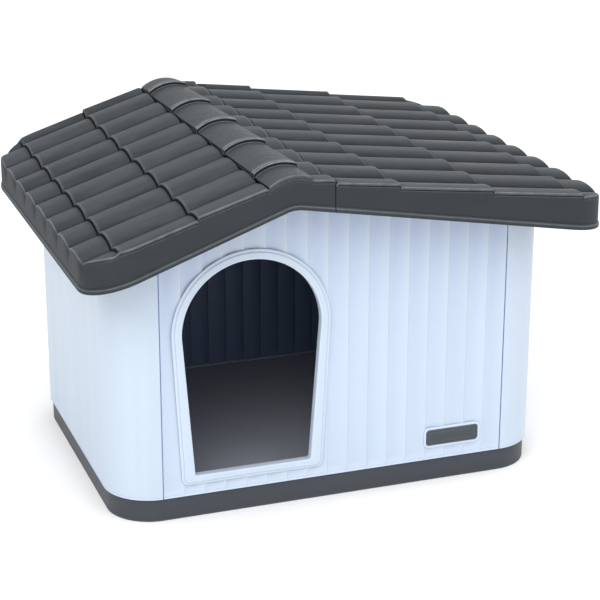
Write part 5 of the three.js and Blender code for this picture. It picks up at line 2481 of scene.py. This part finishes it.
# ---------------------------------------------------------------- the house
class DogHouse:
    """Builds and dresses every piece."""

    def __init__(self, palette: Palette) -> None:
        """Keeps the materials and works out the forms.

        Args:
            palette: The materials.
        """
        self.palette = palette
        self.roof = RoofForm()
        self.walls = WallForm(self.roof)
        self.door = DoorForm()

    def build_roof(self) -> None:
        """Makes the two roof panels and the ridge caps."""
        places = ((Side.LEFT, Body.HOUSE, "roof_left_panel"), (Side.RIGHT, Body.LID, "roof_lid"))
        for side, body, node in places:
            panel = RoofPanel(self.roof, side)
            item = panel.build(f"tiled_{node}")
            join(item, [RoofInside(self.walls, panel).build(f"inside_{node}")])
            dress(item, self.palette.roof, self.palette.skirt)
            # Steep faces take the darker skirt plastic: painted shade.
            paint_shaded_faces(item, lambda _, normal: abs(normal.z) < STEEP)
            settle(item, body, Slot.ROOF, node)
        cap = RidgeCap(self.roof).build("ridge_caps")
        settle(cap, Body.HOUSE, Slot.ROOF, "ridge_cap", self.palette.cap)

    def build_walls(self) -> None:
        """Makes the four walls, the surround and the plate."""
        walls = self.walls
        plate = NamePlate(walls)
        maker = FlutedPanel(walls, -1)
        front = maker.build("fluted_front")
        near, away = -walls.half_depth - CUTTER_REACH, -walls.half_depth + CUTTER_REACH
        cut(front, prism(self.door.opening(self.door.sleeve + walls.gap), near, away, "door_cutter"))
        cut(front, prism(plate.outline(plate.border - 1 * MM), near, away, "plate_cutter"))
        self.finish_wall(front, "front_wall", maker, plate)
        maker = FlutedPanel(walls, 1)
        rear = maker.build("fluted_rear")
        Vents().cut_into(rear, walls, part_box("rear_wall")[1].z)
        self.finish_wall(rear, "rear_wall", maker, None)
        inner = walls.outline.inset(walls.thick * 0.6)
        for side, node in ((Side.LEFT, "left_side_wall"), (Side.RIGHT, "right_side_wall")):
            wall = SideWall(walls, side).build(f"wrapped_{node}")
            dress(wall, self.palette.wall, self.palette.inside_shade)
            # Inside faces take the darker copy of the wall plastic: painted shade.
            paint_shaded_faces(wall, lambda centre, _: inner.outward(np.array(centre.x), np.array(centre.y))[2] > 0)
            settle(wall, Body.HOUSE, Slot.WALL, node)
        surround = DoorSurround(walls, self.door).build("arched_surround")
        settle(surround, Body.HOUSE, Slot.WALL, "door_surround", self.palette.wall)
        settle(plate.build("bare_name_plate"), Body.HOUSE, Slot.PLATE, "name_plate", self.palette.plate)

    def finish_wall(self, panel: Object, node: str, maker: FlutedPanel, plate: NamePlate | None) -> None:
        """Joins a fluted panel to its flanges and border, and dresses it.

        Args:
            panel: The panel.
            node: The node that it replaces.
            maker: What the panel was made by.
            plate: The name plate whose border the panel carries, if any.
        """
        dress(panel, self.palette.wall, self.palette.inside_shade)
        # Inside faces take the darker copy of the wall plastic: painted shade.
        paint_shaded_faces(panel, lambda _, normal: -maker.end * normal.y > INWARD)
        parts = [maker.flanges(f"{panel.name}_flanges")]
        if plate is not None:
            parts.append(plate.build_border())
        for part in parts:
            dress(part, self.palette.wall)
        join(panel, parts)
        settle(panel, Body.HOUSE, Slot.WALL, node)

    def build_base(self) -> None:
        """Makes the base tray."""
        tray = BaseTray(self.walls).build("moulded_base_tray")
        settle(tray, Body.HOUSE, Slot.BASE, "base_tray", self.palette.base)

    def dress_nodes(self) -> None:
        """Dresses the nodes that are shown as they are."""
        for name, node in frame["nodes"].items():
            if node.hide_render:
                continue
            plastic = self.palette.floor if name == "floor_panel" else self.palette.base
            dress(node, self.palette.steel if name.startswith("hinge_") else plastic)
            ease = node.modifiers.new("eased_edges", "BEVEL")
            ease.width = EASE
            ease.segments = 2
            ease.limit_method = "ANGLE"
            ease.angle_limit = EASE_FROM
            log.info("%s: dressed as it is", name)

    def build(self) -> None:
        """Builds and dresses the pieces in order."""
        self.build_base()
        self.build_walls()
        self.build_roof()
        Fasteners(PanScrew(), self.palette).build()
        self.dress_nodes()


# ---------------------------------------------------------------- studio
@dataclass(frozen=True)
class Studio:
    """The floor, the light and the camera."""

    camera_place: tuple[float, float, float] = (-1.24156, -3.53584, 1.63025)
    yaw: float = math.radians(19.84)
    pitch: float = math.radians(19.28)
    roll: float = math.radians(0.08)
    lens: float = 107.41
    sensor: float = 36.0
    floor_size: float = 60.0
    surroundings: float = 1.5
    dim_side: tuple[float, float, float] = (-0.35, 0.937, 0.0)
    dim_share: float = 0.45
    dim_from: float = -0.4
    dim_to: float = 0.95
    key_power: float = 60.0
    key_size: tuple[float, float] = (3.0, 2.0)
    key_place: tuple[float, float, float] = (-2.0, -2.7, 3.2)
    key_target: tuple[float, float, float] = (0.0, 0.0, 0.4)
    floor_white: float = 0.97
    floor_roughness: float = 0.9

    def build_floor(self) -> None:
        """Makes the plain pale floor."""
        mesh = bpy.data.meshes.new("studio_floor")
        half = self.floor_size / 2
        corners = [(-half, -half, 0), (half, -half, 0), (half, half, 0), (-half, half, 0)]
        mesh.from_pydata(corners, [], [(0, 1, 2, 3)])
        floor = bpy.data.objects.new("studio_floor", mesh)
        bpy.context.scene.collection.objects.link(floor)
        material, graph, shader = new_material("studio_floor_white")
        graph.join((*[self.floor_white] * 3, 1.0), shader["Base Color"])
        graph.join(self.floor_roughness, shader["Roughness"])
        graph.join(0.0, shader["Specular IOR Level"])
        dress(floor, material)

    def build_light(self) -> None:
        """Makes the soft white surroundings and one large soft light."""
        world = bpy.data.worlds.new("studio_white")
        world.use_nodes = True
        background = world.node_tree.nodes["Background"]
        background.inputs["Strength"].default_value = self.surroundings
        graph = Graph(world.node_tree)
        towards = graph.node("ShaderNodeTexCoord").outputs["Generated"]
        sides = {0: towards, 1: self.dim_side}
        turned = graph.fed("ShaderNodeVectorMath", sides, operation="DOT_PRODUCT")["Value"]
        white = graph.ramp(turned, self.dim_from, self.dim_to, 1.0, self.dim_share)
        graph.join(white, background.inputs["Color"])
        bpy.context.scene.world = world
        key = bpy.data.lights.new("overhead_softbox", "AREA")
        key.shape = "RECTANGLE"
        key.size, key.size_y = self.key_size
        key.energy = self.key_power
        item = bpy.data.objects.new("overhead_softbox", key)
        item.location = self.key_place
        item.rotation_mode = "QUATERNION"
        item.rotation_quaternion = (item.location - Vector(self.key_target)).to_track_quat("Z", "Y")
        bpy.context.scene.collection.objects.link(item)

    def build_camera(self) -> None:
        """Makes the camera at the photograph's viewing angle."""
        data = bpy.data.cameras.new("photograph_view")
        data.lens = self.lens
        data.sensor_width = self.sensor
        data.clip_end = 100.0
        camera = bpy.data.objects.new("photograph_view", data)
        turn = Matrix.Rotation(-self.yaw, 4, "Z") @ Matrix.Rotation(math.pi / 2 - self.pitch, 4, "X")
        place = Matrix.Translation(self.camera_place)
        camera.matrix_world = place @ turn @ Matrix.Rotation(self.roll, 4, "Z")
        bpy.context.scene.collection.objects.link(camera)
        bpy.context.scene.camera = camera

    def build(self) -> None:
        """Makes the whole studio, with plain screen colours."""
        self.build_floor()
        self.build_light()
        self.build_camera()
        bpy.context.scene.view_settings.view_transform = "Standard"


def clear_start() -> None:
    """Removes the start file's own objects, and leaves the frame."""
    kept = set(frame["nodes"].values()) | set(frame["bodies"].values())
    for item in [o for o in bpy.context.scene.objects if o not in kept]:
        bpy.data.objects.remove(item)


def main() -> None:
    """Builds the scene."""
    logging.basicConfig(level=logging.INFO, format="%(name)s: %(message)s")
    clear_start()
    house = DogHouse(Palette.make())
    house.build()
    Studio().build()


if __name__ == "__main__":
    main()
